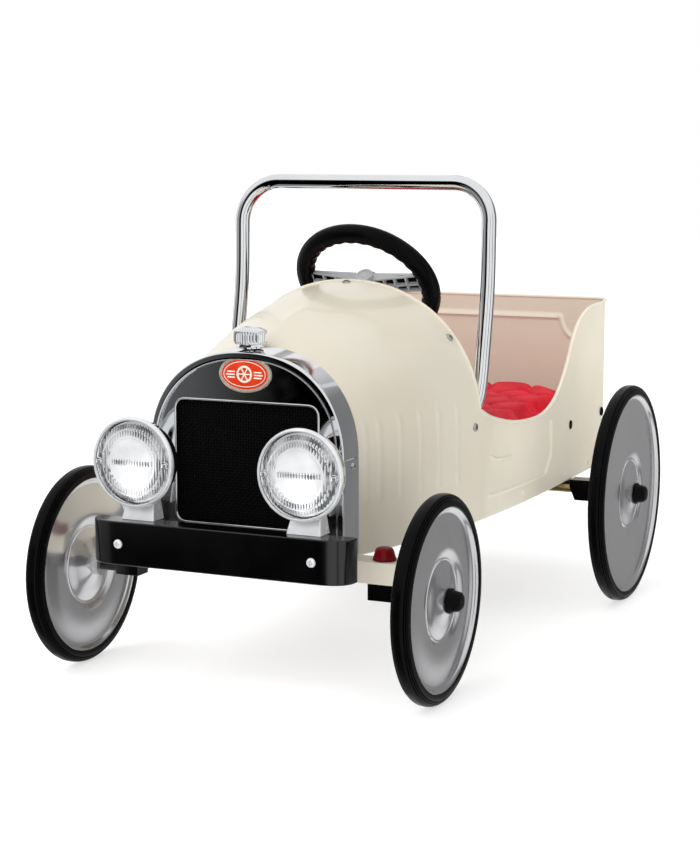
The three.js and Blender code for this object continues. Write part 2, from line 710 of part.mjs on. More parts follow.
function bearingBracket() {
  const { inner, outer, front, rear, bottom, top } = BEARING;
  const side = new THREE.Shape([
    new THREE.Vector2(inner, bottom + 17),
    new THREE.Vector2(inner + 7, bottom),
    new THREE.Vector2(outer, bottom),
    new THREE.Vector2(outer, top),
    new THREE.Vector2(inner, top),
  ]);
  const block = plateXZ(side, front, rear);
  const lug = box(RAIL.inner, inner + 14, LUG.front, LUG.rear, LUG.bottom, SILL_Z - 0.4);
  const leg = box(inner + 2, inner + 14, rear - 2, LUG.rear, LUG.bottom, SILL_Z - 0.4);
  const z = REAR_WHEEL.radius;
  const bore = bar(AXLE_RADIUS + 0.4, [inner - 20, WHEELBASE, z], [outer + 5, WHEELBASE, z], 20);
  return cut(join(block, lug, leg), bore);
}

add("chassis_frame", chassisFrame(), STEEL);
for (const { side, sign } of SIDES) add(`axle_bracket_${side}`, mirrored(bearingBracket(), sign), BLACK_PAINT);

// ---- Crank, rods and pedals ----
const axleZ = REAR_WHEEL.radius;

// One throw per side, opposite each other and level with the axle: the left pin lies ahead of it, the right behind.
const pinY = (sign) => WHEELBASE - sign * CRANK.throw;

function crankAxle() {
  const inner = CRANK.pinX - CRANK.pinHalf - CRANK.web;
  const outer = CRANK.pinX + CRANK.pinHalf + CRANK.web;
  const end = REAR_WHEEL.x + HUB_OUT - 0.5;
  const parts = [bar(AXLE_RADIUS, [-inner, WHEELBASE, axleZ], [inner, WHEELBASE, axleZ])];
  for (const sign of [1, -1]) {
    const y = pinY(sign);
    const [front, rear] = [WHEELBASE, y].sort((p, q) => p - q);
    parts.push(bar(AXLE_RADIUS, [sign * (outer - 1), WHEELBASE, axleZ], [sign * end, WHEELBASE, axleZ]));
    parts.push(bar(AXLE_RADIUS - 1, [sign * (inner - 1), y, axleZ], [sign * (outer - 0.5), y, axleZ]));
    for (const x of [inner - 2, outer - CRANK.web]) {
      const faces = [sign * x, sign * (x + CRANK.web)].sort((p, q) => p - q);
      parts.push(box(...faces, front - 7, rear + 7, axleZ - 7, axleZ + 7));
    }
  }
  return join(...parts);
}

// Where the rod of fixed length meets the lever's circle, as the lever's angle from hanging straight down.
const rodLength = WHEELBASE - PEDAL.pivotY;
function leverAngle(y) {
  const dy = y - PEDAL.pivotY;
  const dz = axleZ - PEDAL.pivotZ;
  const span = Math.hypot(dy, dz);
  const corner = Math.acos((PEDAL.length ** 2 + span ** 2 - rodLength ** 2) / (2 * PEDAL.length * span));
  return Math.atan2(dy, -dz) - corner;
}

function pedalRod(y) {
  const angle = leverAngle(y);
  const front = {
    y: PEDAL.pivotY + PEDAL.length * Math.sin(angle),
    z: PEDAL.pivotZ - PEDAL.length * Math.cos(angle),
  };
  const tilt = Math.atan2(front.z - axleZ, y - front.y);
  const parts = [box(-ROD.thick / 2, ROD.thick / 2, -rodLength, 0, -ROD.halfHeight, ROD.halfHeight)];
  for (const end of [-rodLength, 0]) parts.push(bar(ROD.eye, [-ROD.thick / 2, end, 0], [ROD.thick / 2, end, 0], 20));
  const bores = [0, -rodLength].map((end) => bar(AXLE_RADIUS - 0.6, [-9, end, 0], [9, end, 0], 16));
  const geometry = cut(join(...parts), ...bores);
  return geometry.rotateX(-tilt).translate(0, y, axleZ);
}

function pedalLever(sign) {
  const half = PEDAL.thick / 2;
  const parts = [
    box(-half, half, -9, 9, -PEDAL.length, 0),
    bar(11, [-half - 3, 0, 0], [half + 3, 0, 0], 20),
    bar(9, [-half, 0, -PEDAL.length], [half, 0, -PEDAL.length], 20),
    bar(4, [0, 0, -PEDAL.length], [sign * (half + 4), 0, -PEDAL.length], 12),
  ];
  return cut(join(...parts), bar(AXLE_RADIUS + GAP, [-12, 0, 0], [12, 0, 0], 16));
}

function pedalPad(sign) {
  const x = [sign * (PEDAL_PAD.inner - PEDAL.leverX), sign * (PEDAL_PAD.outer - PEDAL.leverX)].sort((p, q) => p - q);
  const [low, high] = [PEDAL_PAD.bottom - PEDAL.pivotZ, PEDAL_PAD.top - PEDAL.pivotZ];
  const outline = roundedRect(new THREE.Shape(), ...x, low, high, 6);
  return plateXZ(outline, -PEDAL_PAD.thick / 2, PEDAL_PAD.thick / 2, 3);
}

add("crank_axle", crankAxle(), ZINC);
for (const { side, sign } of SIDES) {
  add(`pedal_rod_${side}`, pedalRod(pinY(sign)), ZINC).position.x = sign * CRANK.pinX;
  const hanger = new THREE.Group();
  hanger.position.set(sign * PEDAL.leverX, PEDAL.pivotY, PEDAL.pivotZ);
  hanger.rotation.x = leverAngle(pinY(sign));
  car.add(hanger);
  add(`pedal_lever_${side}`, pedalLever(sign), STEEL, hanger);
  add(`pedal_pad_${side}`, pedalPad(sign), BLACK_PLASTIC, hanger);
}
const crossbarEnd = 139;
const crossbar = bar(
  AXLE_RADIUS,
  [-crossbarEnd, PEDAL.pivotY, PEDAL.pivotZ],
  [crossbarEnd, PEDAL.pivotY, PEDAL.pivotZ],
);
add("pedal_crossbar", crossbar, STEEL);

// ---- Seat ----
function seatPan() {
  const { halfWidth, front, rear, panZ, panThick } = SEAT;
  return join(
    box(-halfWidth, halfWidth, front, rear, panZ, panZ + panThick),
    box(-halfWidth, halfWidth, front, front + 2, panZ - 8, panZ + 1),
  );
}

// The cushion is a plain pad with rounded corners and a lower front edge.
function seatCushion() {
  const low = SEAT.panZ + SEAT.panThick + GAP;
  const layers = [
    [low, 7],
    [low + 12, 2],
    [SEAT.top - 12, 2],
    [SEAT.top, 14],
  ];
  const rings = layers.map(([z, inset]) => {
    const outline = new THREE.Shape();
    roundedRect(
      outline,
      -SEAT.halfWidth + inset,
      SEAT.halfWidth - inset,
      SEAT.front + 3 + inset,
      SEAT.rear - inset,
      20,
    );
    return outline.getPoints(4).slice(0, -1).map((p) => new THREE.Vector3(p.x, p.y, z));
  });
  return loft(rings, "x", "y");
}

add("seat_pan", seatPan(), STEEL);
add("seat_cushion", seatCushion(), RED_CLOTH);

export default root;
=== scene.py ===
"""A child's pedal car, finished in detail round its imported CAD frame. It faces -Y and its left side is +X.

Shapes are drawn in millimetres with y = 0 at the front axle; new_piece() moves them into the frame's metres.
"""

import json
import math

import bmesh
import bpy
import numpy as np
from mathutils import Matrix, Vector

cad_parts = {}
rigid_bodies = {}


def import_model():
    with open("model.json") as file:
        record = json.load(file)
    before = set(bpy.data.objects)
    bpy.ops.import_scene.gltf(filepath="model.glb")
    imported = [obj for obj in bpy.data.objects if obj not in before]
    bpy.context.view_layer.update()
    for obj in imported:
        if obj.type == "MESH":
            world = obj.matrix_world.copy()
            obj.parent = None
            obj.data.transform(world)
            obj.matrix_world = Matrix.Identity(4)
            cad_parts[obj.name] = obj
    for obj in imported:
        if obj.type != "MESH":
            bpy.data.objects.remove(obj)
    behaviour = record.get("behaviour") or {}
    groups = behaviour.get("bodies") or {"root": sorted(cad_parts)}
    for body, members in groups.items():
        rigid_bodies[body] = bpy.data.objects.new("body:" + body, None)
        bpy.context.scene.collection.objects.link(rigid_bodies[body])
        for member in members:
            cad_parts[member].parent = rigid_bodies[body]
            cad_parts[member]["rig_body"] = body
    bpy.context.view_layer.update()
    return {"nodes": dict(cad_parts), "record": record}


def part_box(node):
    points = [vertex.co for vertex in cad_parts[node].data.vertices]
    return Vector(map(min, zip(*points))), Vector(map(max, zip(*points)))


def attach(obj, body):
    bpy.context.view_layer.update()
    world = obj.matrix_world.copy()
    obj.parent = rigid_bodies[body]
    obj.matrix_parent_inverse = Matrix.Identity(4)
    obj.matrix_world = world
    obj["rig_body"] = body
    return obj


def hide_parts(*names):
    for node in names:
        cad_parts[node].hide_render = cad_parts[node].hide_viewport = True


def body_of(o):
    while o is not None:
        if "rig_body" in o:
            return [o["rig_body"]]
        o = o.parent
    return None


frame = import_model()

MM = 0.001
AXLE_Y = sum(corner[1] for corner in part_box("front_disc_left")) / 2  # where the front axle lies, in metres
SIDES = {"left": 1, "right": -1}  # the car's sides, with the sign of x on each


def from_axle(place):
    """A place in the frame, in millimetres from the floor under the middle of the front axle."""
    return (np.array(place) - (0, AXLE_Y, 0)) / MM


def span(node):
    """A CAD node's lowest and highest corners."""
    return [from_axle(corner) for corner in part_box(node)]


def middle(node):
    return sum(span(node)) / 2


def joint(key, value):
    """The axis and the pivot of the frame's joint whose key has that value."""
    found = next(each for each in frame["record"]["behaviour"]["joints"] if each[key] == value)
    return np.array(found["axis"]) / np.linalg.norm(found["axis"]), from_axle(found["pos_m"])


# ---- Driving dimensions ----
HOOD_LOW, HOOD_HIGH = span("hood_shell")
SILL_Z = HOOD_LOW[2]
FRONT_ARCH = {"half": 113, "shoulder": 246, "top": 361, "power": 2.25, "crease": 4}
SCUTTLE_ARCH = {"half": HOOD_HIGH[0], "shoulder": 253, "top": HOOD_HIGH[2], "power": 2.1, "crease": 0}
HOOD_SWELL = 0.45
CREASE_HALF = 26
SHEET = 1.2
FLANGE = 9  # the sheet's inward fold along the sill
HOOD_TUCK = 1.2  # how far the hood's front edge lies inside the radiator's outline
SCUTTLE_Y = HOOD_HIGH[1]
WAIST_Y = 473
WAIST_HALF = 173.5
TAIL_Y = span("rear_panel")[1][1]
TAIL_HALF = 171.5
TAIL_TOP = span("rear_panel")[1][2]
TAIL_CORNER = 14
LIP_RADIUS = 2.3
JOINT_Z = 273  # height at which the hood's arch passes into the doorway's edge
DOORWAY = [(SCUTTLE_Y, JOINT_Z), (285, 259.5), (345, 247), (412, 242.5), (455, 246), (490, 257.5), (516, 275),
           (540, 299), (562, 327), (584, 344.5), (612, 356), (645, 361.5), (703, 362.5)]
MEETING_Y = 690  # behind this the doorway's edge eases to the height of the tail

# ---- Curves ----


def smooth(share):
    share = np.clip(share, 0, 1)
    return share * share * (3 - 2 * share)


def spline(points, count):
    """A smooth curve of count points that passes through the given ones (Catmull-Rom)."""
    given = np.array(points, float)
    padded = np.vstack([2 * given[0] - given[1], given, 2 * given[-1] - given[-2]])
    place = np.linspace(0, len(given) - 1, count)
    at = np.minimum(place.astype(int), len(given) - 2)
    t = (place - at)[:, None]
    a, b, c, d = padded[at], padded[at + 1], padded[at + 2], padded[at + 3]
    return 0.5 * (2 * b + (c - a) * t + (2 * a - 5 * b + 4 * c - d) * t**2 + (3 * b - 3 * c + d - a) * t**3)


def lengths_along(points):
    steps = np.linalg.norm(np.diff(points, axis=0), axis=1)
    return np.concatenate([[0], np.cumsum(steps)])


def resampled(points, wanted):
    """The polyline's points at the wanted lengths along it."""
    reach = lengths_along(points)
    return np.stack([np.interp(wanted, reach, points[:, k]) for k in range(points.shape[1])], axis=1)


def evenly(points, count):
    points = np.asarray(points, float)
    return resampled(points, np.linspace(0, lengths_along(points)[-1], count))


def filleted(points, radius, steps=5, closed=False):
    """The polyline with each corner rounded off by a curve that starts about radius before it."""
    points = [np.array(p, float) for p in points]
    count = len(points)
    made = [] if closed else [points[0]]
    for i in range(0 if closed else 1, count if closed else count - 1):
        corner, before, after = points[i], points[i - 1], points[(i + 1) % count]
        gone = min(radius, 0.45 * np.linalg.norm(before - corner))
        start = corner + (before - corner) * gone / np.linalg.norm(before - corner)
        gone = min(radius, 0.45 * np.linalg.norm(after - corner))
        end = corner + (after - corner) * gone / np.linalg.norm(after - corner)
        for t in np.linspace(0, 1, steps + 1):
            made.append((1 - t) ** 2 * start + 2 * t * (1 - t) * corner + t * t * end)
    if not closed:
        made.append(points[-1])
    return np.array(made)


def turns(count):
    """Angles at even steps round a full turn."""
    return np.linspace(0, 2 * math.pi, count, endpoint=False)


def circle(radius, sides):
    angle = turns(sides)
    return radius * np.stack([np.cos(angle), np.sin(angle)], axis=1)


def rounded_rectangle(half_x, low, high, radius, steps=8):
    corners = [(-half_x, low), (half_x, low), (half_x, high), (-half_x, high)]
    return filleted(corners, radius, steps, closed=True)


def mirrored_path(half):
    """A path along +x continued by its mirror image, backwards, past x = 0."""
    other = half[::-1].copy()
    other[:, 0] *= -1
    return np.concatenate([half, other[1:] if abs(half[-1][0]) < 1e-9 else other])


def distance_to(path, u, v):
    """The distance from each (u, v) to a polyline in the same plane."""
    best = np.full(np.shape(u), np.inf)
    for (au, av), (bu, bv) in zip(path[:-1], path[1:]):
        du, dv = bu - au, bv - av
        share = np.clip(((u - au) * du + (v - av) * dv) / (du * du + dv * dv), 0, 1)
        best = np.minimum(best, np.hypot(u - au - share * du, v - av - share * dv))
    return best


# ---- Surfaces: each is (points, faces) ----


def grid(points, wrap_rows=False, wrap_columns=False):
    """The quads of a rows x columns x 3 array of points."""
    rows, columns = points.shape[:2]
    faces = []
    for r in range(rows if wrap_rows else rows - 1):
        for c in range(columns if wrap_columns else columns - 1):
            below, right = (r + 1) % rows, (c + 1) % columns
            faces.append((r * columns + c, r * columns + right, below * columns + right, below * columns + c))
    return points.reshape(-1, 3), faces


def capped(surface, count):
    """A wrapped grid with its first and its last ring, of count points each, closed."""
    points, faces = surface
    return points, [*faces, tuple(range(count))[::-1], tuple(range(len(points) - count, len(points)))]


def prism(*outlines):
    """A solid through a row of outlines with as many corners each."""
    return capped(grid(np.array(outlines, float), wrap_columns=True), len(outlines[0]))


def sweep(path, section, up=(0, 0, 1), closed=False):
    """A section of (sideways, up) pairs carried along a path without twisting, its ends closed."""
    path = np.asarray(path, float)
    section = np.asarray(section, float)
    if closed:
        tangents = np.roll(path, -1, axis=0) - np.roll(path, 1, axis=0)
    else:
        tangents = np.gradient(path, axis=0)
    tangents /= np.linalg.norm(tangents, axis=1)[:, None]
    side = np.cross(tangents[0], up)
    sides = []
    for tangent in list(tangents) + ([tangents[0]] if closed else []):
        side = side - tangent * np.dot(side, tangent)
        side = side / np.linalg.norm(side)
        sides.append(side)
    if closed:
        last = sides.pop()
        turn = math.atan2(np.dot(np.cross(last, sides[0]), tangents[0]), np.dot(last, sides[0]))
        for i, tangent in enumerate(tangents):
            part = turn * i / len(path)
            sides[i] = sides[i] * math.cos(part) + np.cross(tangent, sides[i]) * math.sin(part)
    sides = np.array(sides)
    ups = np.cross(sides, tangents)
    rings = path[:, None] + section[None, :, :1] * sides[:, None] + section[None, :, 1:] * ups[:, None]
    surface = grid(rings, wrap_rows=closed, wrap_columns=True)
    return surface if closed else capped(surface, len(section))


def placed(along, across, other, axis):
    """Points from their distance along an axis and two distances across it."""
    order = {"x": (along, across, other), "y": (across, along, other), "z": (across, other, along)}
    return np.stack(order[axis], axis=-1)


def lathe(profile, sides, centre=(0, 0, 0), axis="x", closed=False, wave=None):
    """(distance along the axis, radius) pairs turned about an axis through centre.

    wave(along, radius, angle) gives a changed radius for a surface that isn't round.
    """
    profile = np.asarray(profile, float)
    angle = turns(sides)
    along = np.repeat(profile[:, :1], sides, axis=1)
    radius = np.repeat(profile[:, 1:], sides, axis=1)
    if wave:
        radius = wave(along, radius, angle[None, :])
    points = placed(along, radius * np.cos(angle), radius * np.sin(angle), axis) + np.array(centre, float)
    return grid(points, wrap_rows=closed, wrap_columns=True)


def plate(outlines, level, thickness, axis="y"):
    """A flat plate with holes: the first outline is its edge, the others its holes."""
    bm = bmesh.new()
    for depth in (level, level + thickness):
        edges = []
        for outline in outlines:
            across, other = np.asarray(outline, float).T
            ring = [bm.verts.new(p) for p in placed(np.full(len(across), depth), across, other, axis)]
            edges += [bm.edges.new((ring[i - 1], ring[i])) for i in range(len(ring))]
        bmesh.ops.triangle_fill(bm, edges=edges, use_beauty=True)
    half = len(bm.verts) // 2
    bm.verts.ensure_lookup_table()
    start = 0
    for outline in outlines:
        count = len(outline)
        for i in range(count):
            a, b = start + i, start + (i + 1) % count
            bm.faces.new([bm.verts[k] for k in (a, b, half + b, half + a)])
        start += count
    bm.verts.index_update()
    points = np.array([v.co[:] for v in bm.verts])
    faces = [tuple(v.index for v in face.verts) for face in bm.faces]
    bm.free()
    return points, faces


# ---- Materials ----


def colour(red, green, blue):
    """An sRGB colour, given from 0 to 255, as the linear colour of a shader."""
    linear = [((c / 255 + 0.055) / 1.055) ** 2.4 if c > 10 else c / 255 / 12.92 for c in (red, green, blue)]
    return (*linear, 1)


class Look:
    """A procedural material: a base colour that drifts a little, uneven gloss and a fine surface texture."""

    def __init__(self, name, base, roughness, **fixed):
        self.name = name
        self.material = bpy.data.materials.new(name)
        self.material.use_nodes = True
        self.nodes = self.material.node_tree.nodes
        self.links = self.material.node_tree.links
        self.shader = self.nodes["Principled BSDF"]
        self.base = base
        self.roughness = roughness
        self.where = self.nodes.new("ShaderNodeTexCoord").outputs["Object"]
        self.height = None
        self.shader.inputs["Base Color"].default_value = base
        self.shader.inputs["Roughness"].default_value = roughness
        for socket, value in fixed.items():
            self.shader.inputs[socket.replace("_", " ")].default_value = value

    def add(self, kind, inputs=(), **settings):
        node = self.nodes.new(kind)
        for key, value in settings.items():
            setattr(node, key, value)
        for socket, value in dict(inputs).items():
            if isinstance(value, bpy.types.NodeSocket):
                self.links.new(value, node.inputs[socket])
            else:
                node.inputs[socket].default_value = value
        return node

    def noise(self, scale, detail=3, roughness=0.5):
        """Noise with features about 1 / scale metres across."""
        made = self.add("ShaderNodeTexNoise", {"Vector": self.where, "Scale": scale, "Detail": detail,
                                               "Roughness": roughness})
        return made.outputs["Fac"]

    def ramp(self, value, low, high, to_low=0.0, to_high=1.0):
        made = self.add("ShaderNodeMapRange", {"Value": value, "From Min": low, "From Max": high,
                                               "To Min": to_low, "To Max": to_high})
        return made.outputs["Result"]

    def tinted(self, other, scale, low=0.35, high=0.65):
        """The base colour drifts towards the other colour."""
        share = self.ramp(self.noise(scale), low, high)
        return self.coloured(self.mixed(share, self.base, other))

    def mixed(self, share, first, second):
        """A colour between two others; each may be a colour or a socket."""
        mix = self.add("ShaderNodeMixRGB", {"Fac": share, "Color1": first, "Color2": second})
        return mix.outputs["Color"]

    def coloured(self, value):
        self.links.new(value, self.shader.inputs["Base Color"])
        return self

    def maths(self, operation, *values):
        made = self.add("ShaderNodeMath", dict(enumerate(values)), operation=operation)
        return made.outputs[0]

    def worn(self, spread, scale):
        """The gloss varies by spread over patches about 1 / scale metres across."""
        glossiest, dullest = self.roughness - spread, self.roughness + spread
        value = self.ramp(self.noise(scale, detail=5), 0.3, 0.7, glossiest, dullest)
        self.links.new(value, self.shader.inputs["Roughness"])
        return self

    def textured(self, height, distance, strength=1.0):
        bump = self.add("ShaderNodeBump", {"Height": height, "Distance": distance, "Strength": strength})
        if self.height is not None:
            self.links.new(self.height, bump.inputs["Normal"])
        self.height = bump.outputs["Normal"]
        self.links.new(self.height, self.shader.inputs["Normal"])
        return self

    def wave(self, scale, direction):
        inputs = {"Vector": self.where, "Scale": scale}
        return self.add("ShaderNodeTexWave", inputs, bands_direction=direction).outputs["Fac"]


def finished(name, base, roughness, other, drift, wear, grain=None, **fixed):
    """A look whose colour drifts towards the other one in patches about 1 / drift metres across.

    wear is how far the gloss varies, and the scale of its patches; grain is the scale, the detail, the height
    in metres and the strength of a fine bump.
    """
    look = Look(name, base, roughness, **fixed).tinted(other, drift).worn(*wear)
    if grain:
        scale, detail, height, strength = grain
        look.textured(look.noise(scale, detail), height, strength)
    return look


def lens_glass():
    """Clear pressed glass, with painted shade in the valleys of its two fluted rings and its fluted bar."""
    lens = Look("lens", (1, 1, 1, 1), 0.03, Transmission_Weight=1, IOR=1.45)
    parts = lens.add("ShaderNodeSeparateXYZ", {"Vector": lens.where})
    across = lens.maths("SUBTRACT", lens.maths("ABSOLUTE", parts.outputs["X"]), LAMP_X * MM)
    height = lens.maths("SUBTRACT", parts.outputs["Z"], LAMP_Z * MM)
    reach = lens.maths("SQRT", lens.maths("ADD", lens.maths("MULTIPLY", across, across),
                                          lens.maths("MULTIPLY", height, height)))
    flute = lens.maths("COSINE", lens.maths("MULTIPLY", across, 2 * math.pi / (FLUTE_PITCH * MM)))
    # Painted shade: the clear glass is tinted dark along the flutes' valleys inside the fluted rings and bar,
    # more in some places than others.
    valley = lens.ramp(flute, -0.3, 0.6)
    zones = [lens.maths("COMPARE", reach, place * MM, half * MM) for place, half in FLUTED_RINGS]
    bar = lens.maths("MULTIPLY", lens.maths("COMPARE", height, 0.0, FLUTED_BAR[1] * MM),
                     lens.maths("COMPARE", across, 0.0, FLUTED_BAR[0] * MM))
    zone = lens.maths("MAXIMUM", lens.maths("MAXIMUM", *zones), bar)
    uneven = lens.ramp(lens.noise(38, detail=1), 0.36, 0.6, 0.25, 1.0)
    shade = lens.maths("MULTIPLY", lens.maths("MULTIPLY", valley, zone), uneven)
    # The painted shade mixes the glass towards this dark grey.
    lens.coloured(lens.mixed(shade, (1, 1, 1, 1), colour(44, 46, 49)))
    return lens.textured(lens.noise(240, detail=1), 0.00002, 0.2)


def red_cloth():
    """A plain woven cloth, a little uneven."""
    cloth = finished("red_cloth", colour(206, 8, 38), 0.7, colour(182, 5, 31), 35, (0.08, 150),
                     Sheen_Weight=0.3, Sheen_Roughness=0.4, Sheen_Tint=colour(240, 90, 110))
    weave = cloth.maths("MAXIMUM", cloth.wave(THREADS, "X"), cloth.wave(THREADS, "Y"))
    return cloth.textured(weave, 0.00012, 0.6).textured(cloth.noise(180), 0.0003, 0.4)


def make_looks():
    enamelled = {"grain": (420, 2, 0.00002, 0.4), "Coat_Roughness": 0.06}
    looks = [
        finished("cream_paint", colour(226, 219, 202), 0.34, colour(222, 213, 194), 9, (0.04, 30),
                 Coat_Weight=0.4, **enamelled),
        finished("black_paint", colour(2, 2, 2), 0.22, colour(3, 3, 4), 9, (0.04, 30),
                 Coat_Weight=0.3, **enamelled),
        finished("chrome", colour(236, 237, 238), 0.05, colour(226, 228, 231), 20, (0.03, 55),
                 (160, 2, 0.00001, 0.3), Metallic=1),
        finished("silver_paint", colour(212, 212, 214), 0.19, colour(205, 205, 208), 9, (0.02, 18),
                 Metallic=0.82, Coat_Weight=0.7, Coat_Roughness=0.03),
        finished("tyre_rubber", colour(3, 3, 3), 0.3, colour(6, 6, 6), 25, (0.09, 70),
                 (1500, 3, 0.00003, 0.5), Specular_IOR_Level=0.08),
        finished("black_plastic", colour(3, 3, 3), 0.26, colour(5, 5, 6), 30, (0.06, 80),
                 (1300, 3, 0.00003, 0.5), Specular_IOR_Level=0.07),
        finished("grey_plastic", colour(196, 198, 200), 0.36, colour(184, 186, 189), 25, (0.06, 60),
                 (1100, 3, 0.00004, 0.6), Metallic=0.15),
        finished("red_plastic", colour(112, 2, 14), 0.3, colour(92, 1, 11), 40, (0.05, 90),
                 (700, 3, 0.00002, 0.5), Specular_IOR_Level=0.14),
        finished("zinc", colour(188, 168, 104), 0.3, colour(158, 150, 112), 60, (0.09, 120),
                 (900, 3, 0.00003, 0.6), Metallic=0.95),
        finished("badge_enamel", colour(222, 62, 26), 0.16, colour(206, 50, 20), 80, (0.03, 120),
                 (300, 1, 0.00002, 0.3), Coat_Weight=1, Coat_Roughness=0.03),
        finished("grille", colour(3, 3, 3), 0.5, colour(6, 6, 6), 90, (0.1, 200),
                 (2200, 3, 0.00003, 0.5), Specular_IOR_Level=0.12),
        lens_glass(),
        finished("reflector", colour(250, 251, 252), 0.2, colour(226, 228, 230), 45, (0.06, 60),
                 Metallic=0.6),
        red_cloth(),
        finished("badge_ivory", colour(244, 238, 224), 0.25, colour(236, 228, 210), 90, (0.04, 150),
                 Coat_Weight=0.8, Coat_Roughness=0.05),
        finished("badge_silver", colour(222, 214, 198), 0.3, colour(204, 194, 176), 120, (0.05, 150),
                 Metallic=0.6),
        finished("bright_zinc", colour(240, 241, 243), 0.24, colour(224, 226, 229), 60, (0.05, 80),
                 Metallic=0.3),
        finished("screw_steel", colour(190, 187, 180), 0.26, colour(160, 157, 150), 200, (0.06, 300),
                 Metallic=0.85),
    ]
    return {look.name: look.material for look in looks}


LAMP_X, _, LAMP_Z = middle("headlamp_rim_left")
FLUTE_PITCH = 3.1
FLUTED_RINGS = ((38.6, 2.5), (31.4, 2.8))  # the middle radius and half width of each
FLUTED_BAR = (23, 2.6)  # half its length and half its height
THREADS = 700  # the scale of the cushion cloth's weave
LOOKS = make_looks()

# ---- Pieces ----


def finish_piece(name, bm, look, body, stands_for, sharp):
    for face in bm.faces:
        face.smooth = True
    for edge in bm.edges:
        edge.smooth = len(edge.link_faces) == 2 and edge.calc_face_angle(0) < math.radians(sharp)
    mesh = bpy.data.meshes.new(name)
    bm.to_mesh(mesh)
    bm.free()
    mesh.materials.append(LOOKS[look])
    piece = bpy.data.objects.new(name, mesh)
    bpy.context.scene.collection.objects.link(piece)
    if body:
        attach(piece, body)
    if stands_for:
        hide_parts(*stands_for)
    return piece


def new_piece(name, parts, look, body="root", stands_for=(), sharp=38, sheet=0):
    """One object from several surfaces. An open surface gets the thickness of its sheet on its inside."""
    bm = bmesh.new()
    for points, faces in parts:
        verts = [bm.verts.new((x * MM, y * MM + AXLE_Y, z * MM)) for x, y, z in points]
        for face in faces:
            bm.faces.new([verts[i] for i in face])
    bmesh.ops.remove_doubles(bm, verts=bm.verts, dist=0.002 * MM)
    bmesh.ops.dissolve_degenerate(bm, edges=bm.edges, dist=0.001 * MM)
    bmesh.ops.recalc_face_normals(bm, faces=bm.faces)
    if sheet:
        centre = sum((v.co for v in bm.verts), Vector()) / len(bm.verts)
        outward = [f.normal.dot(f.calc_center_median() - centre) * f.calc_area() for f in bm.faces]
        if sum(outward) < 0:
            bmesh.ops.reverse_faces(bm, faces=bm.faces)
    piece = finish_piece(name, bm, look, body, stands_for, sharp)
    if sheet:
        solidify = piece.modifiers.new("sheet", "SOLIDIFY")
        solidify.thickness = sheet * MM
        solidify.offset = -1
        solidify.use_even_offset = True
    return piece


def refined(node, look, bevel):
    """A copy of a CAD node with flat facets merged and sharp edges rounded, which stands for the node."""
    bm = bmesh.new()
    bm.from_mesh(frame["nodes"][node].data)
    bmesh.ops.remove_doubles(bm, verts=bm.verts, dist=1e-6)
    bmesh.ops.dissolve_limit(bm, angle_limit=math.radians(1.5), verts=bm.verts, edges=bm.edges)
    hard = [e for e in bm.edges if len(e.link_faces) == 2 and e.calc_face_angle(0) > math.radians(32)]
    bmesh.ops.bevel(bm, geom=hard, offset=bevel * MM, segments=2, profile=0.5, affect="EDGES",
                    clamp_overlap=True)
    body = body_of(frame["nodes"][node])
    body = body if isinstance(body, str) else body[0]
    piece = finish_piece(f"{node}_finish", bm, look, body, (node,), 50)
    piece.modifiers.new("even_shading", "WEIGHTED_NORMAL").keep_sharp = True
    return piece


def screw_head(centre, normal, radius, rise=None, cross=True):
    """A domed head with a cross recess, standing on a surface with that outward normal."""
    rise = rise or 0.55 * radius
    rings, sectors = 15, 40
    share = np.linspace(0, 1, rings)[:, None]
    angle = turns(sectors)[None, :]
    u, v = share * np.cos(angle), share * np.sin(angle)
    height = rise * np.sqrt(np.clip(1 - share**2.6, 0, 1)) * np.ones_like(angle)
    if cross:
        arm = (np.minimum(np.abs(u), np.abs(v)) < 0.17) & (np.maximum(np.abs(u), np.abs(v)) < 0.62)
        height = np.where(arm, height - 0.75 * rise, height)
    normal = np.array(normal, float) / np.linalg.norm(normal)
    first = np.cross(normal, (0.2, 0.3, 1))
    first /= np.linalg.norm(first)
    second = np.cross(normal, first)
    points = (np.array(centre, float) + radius * (u[..., None] * first + v[..., None] * second)
              + height[..., None] * normal)
    skirt = points[-1:] - 0.8 * normal
    return grid(np.concatenate([points, skirt]), wrap_columns=True)


# ---- Camera, floor and light ----
CAMERA_PLACE = (0.92591, -2.11397, 0.57651)
CAMERA_TARGET = (0.00022, -0.055, 0.24241)
CAMERA_LENS, CAMERA_SENSOR = 81.46, 36
FLOOR_HALF = 9
FLOOR_SHADE = 0.64
FLOOR_GLOW = 0.6
TAIL_FILL_PLACE = (1.6, 0.5, 0.62)
TAIL_FILL_TARGET = (0.17, 0.3, 0.26)
STUDIO_GLOSS = 0.95  # how bright the studio is to a glossy surface
STUDIO_AMBIENT = 0.62
LAMP_GLOW = 1.5  # and through the lamps' glass
# Narrow dark flags stand round the car, each at an azimuth from straight ahead towards its left.
NARROW_FLAGS = ((0.62, 0.12), (1.42, 0.16), (2.3, 0.2), (-2.2, 0.25), (-2.8, 0.1))


def make_camera():
    data = bpy.data.cameras.new("camera")
    data.lens = CAMERA_LENS
    data.sensor_width = CAMERA_SENSOR
    camera = bpy.data.objects.new("camera", data)
    camera.location = CAMERA_PLACE
    aim = Vector(CAMERA_TARGET) - Vector(CAMERA_PLACE)
    camera.rotation_euler = aim.to_track_quat("-Z", "Y").to_euler()
    bpy.context.scene.collection.objects.link(camera)
    bpy.context.scene.camera = camera


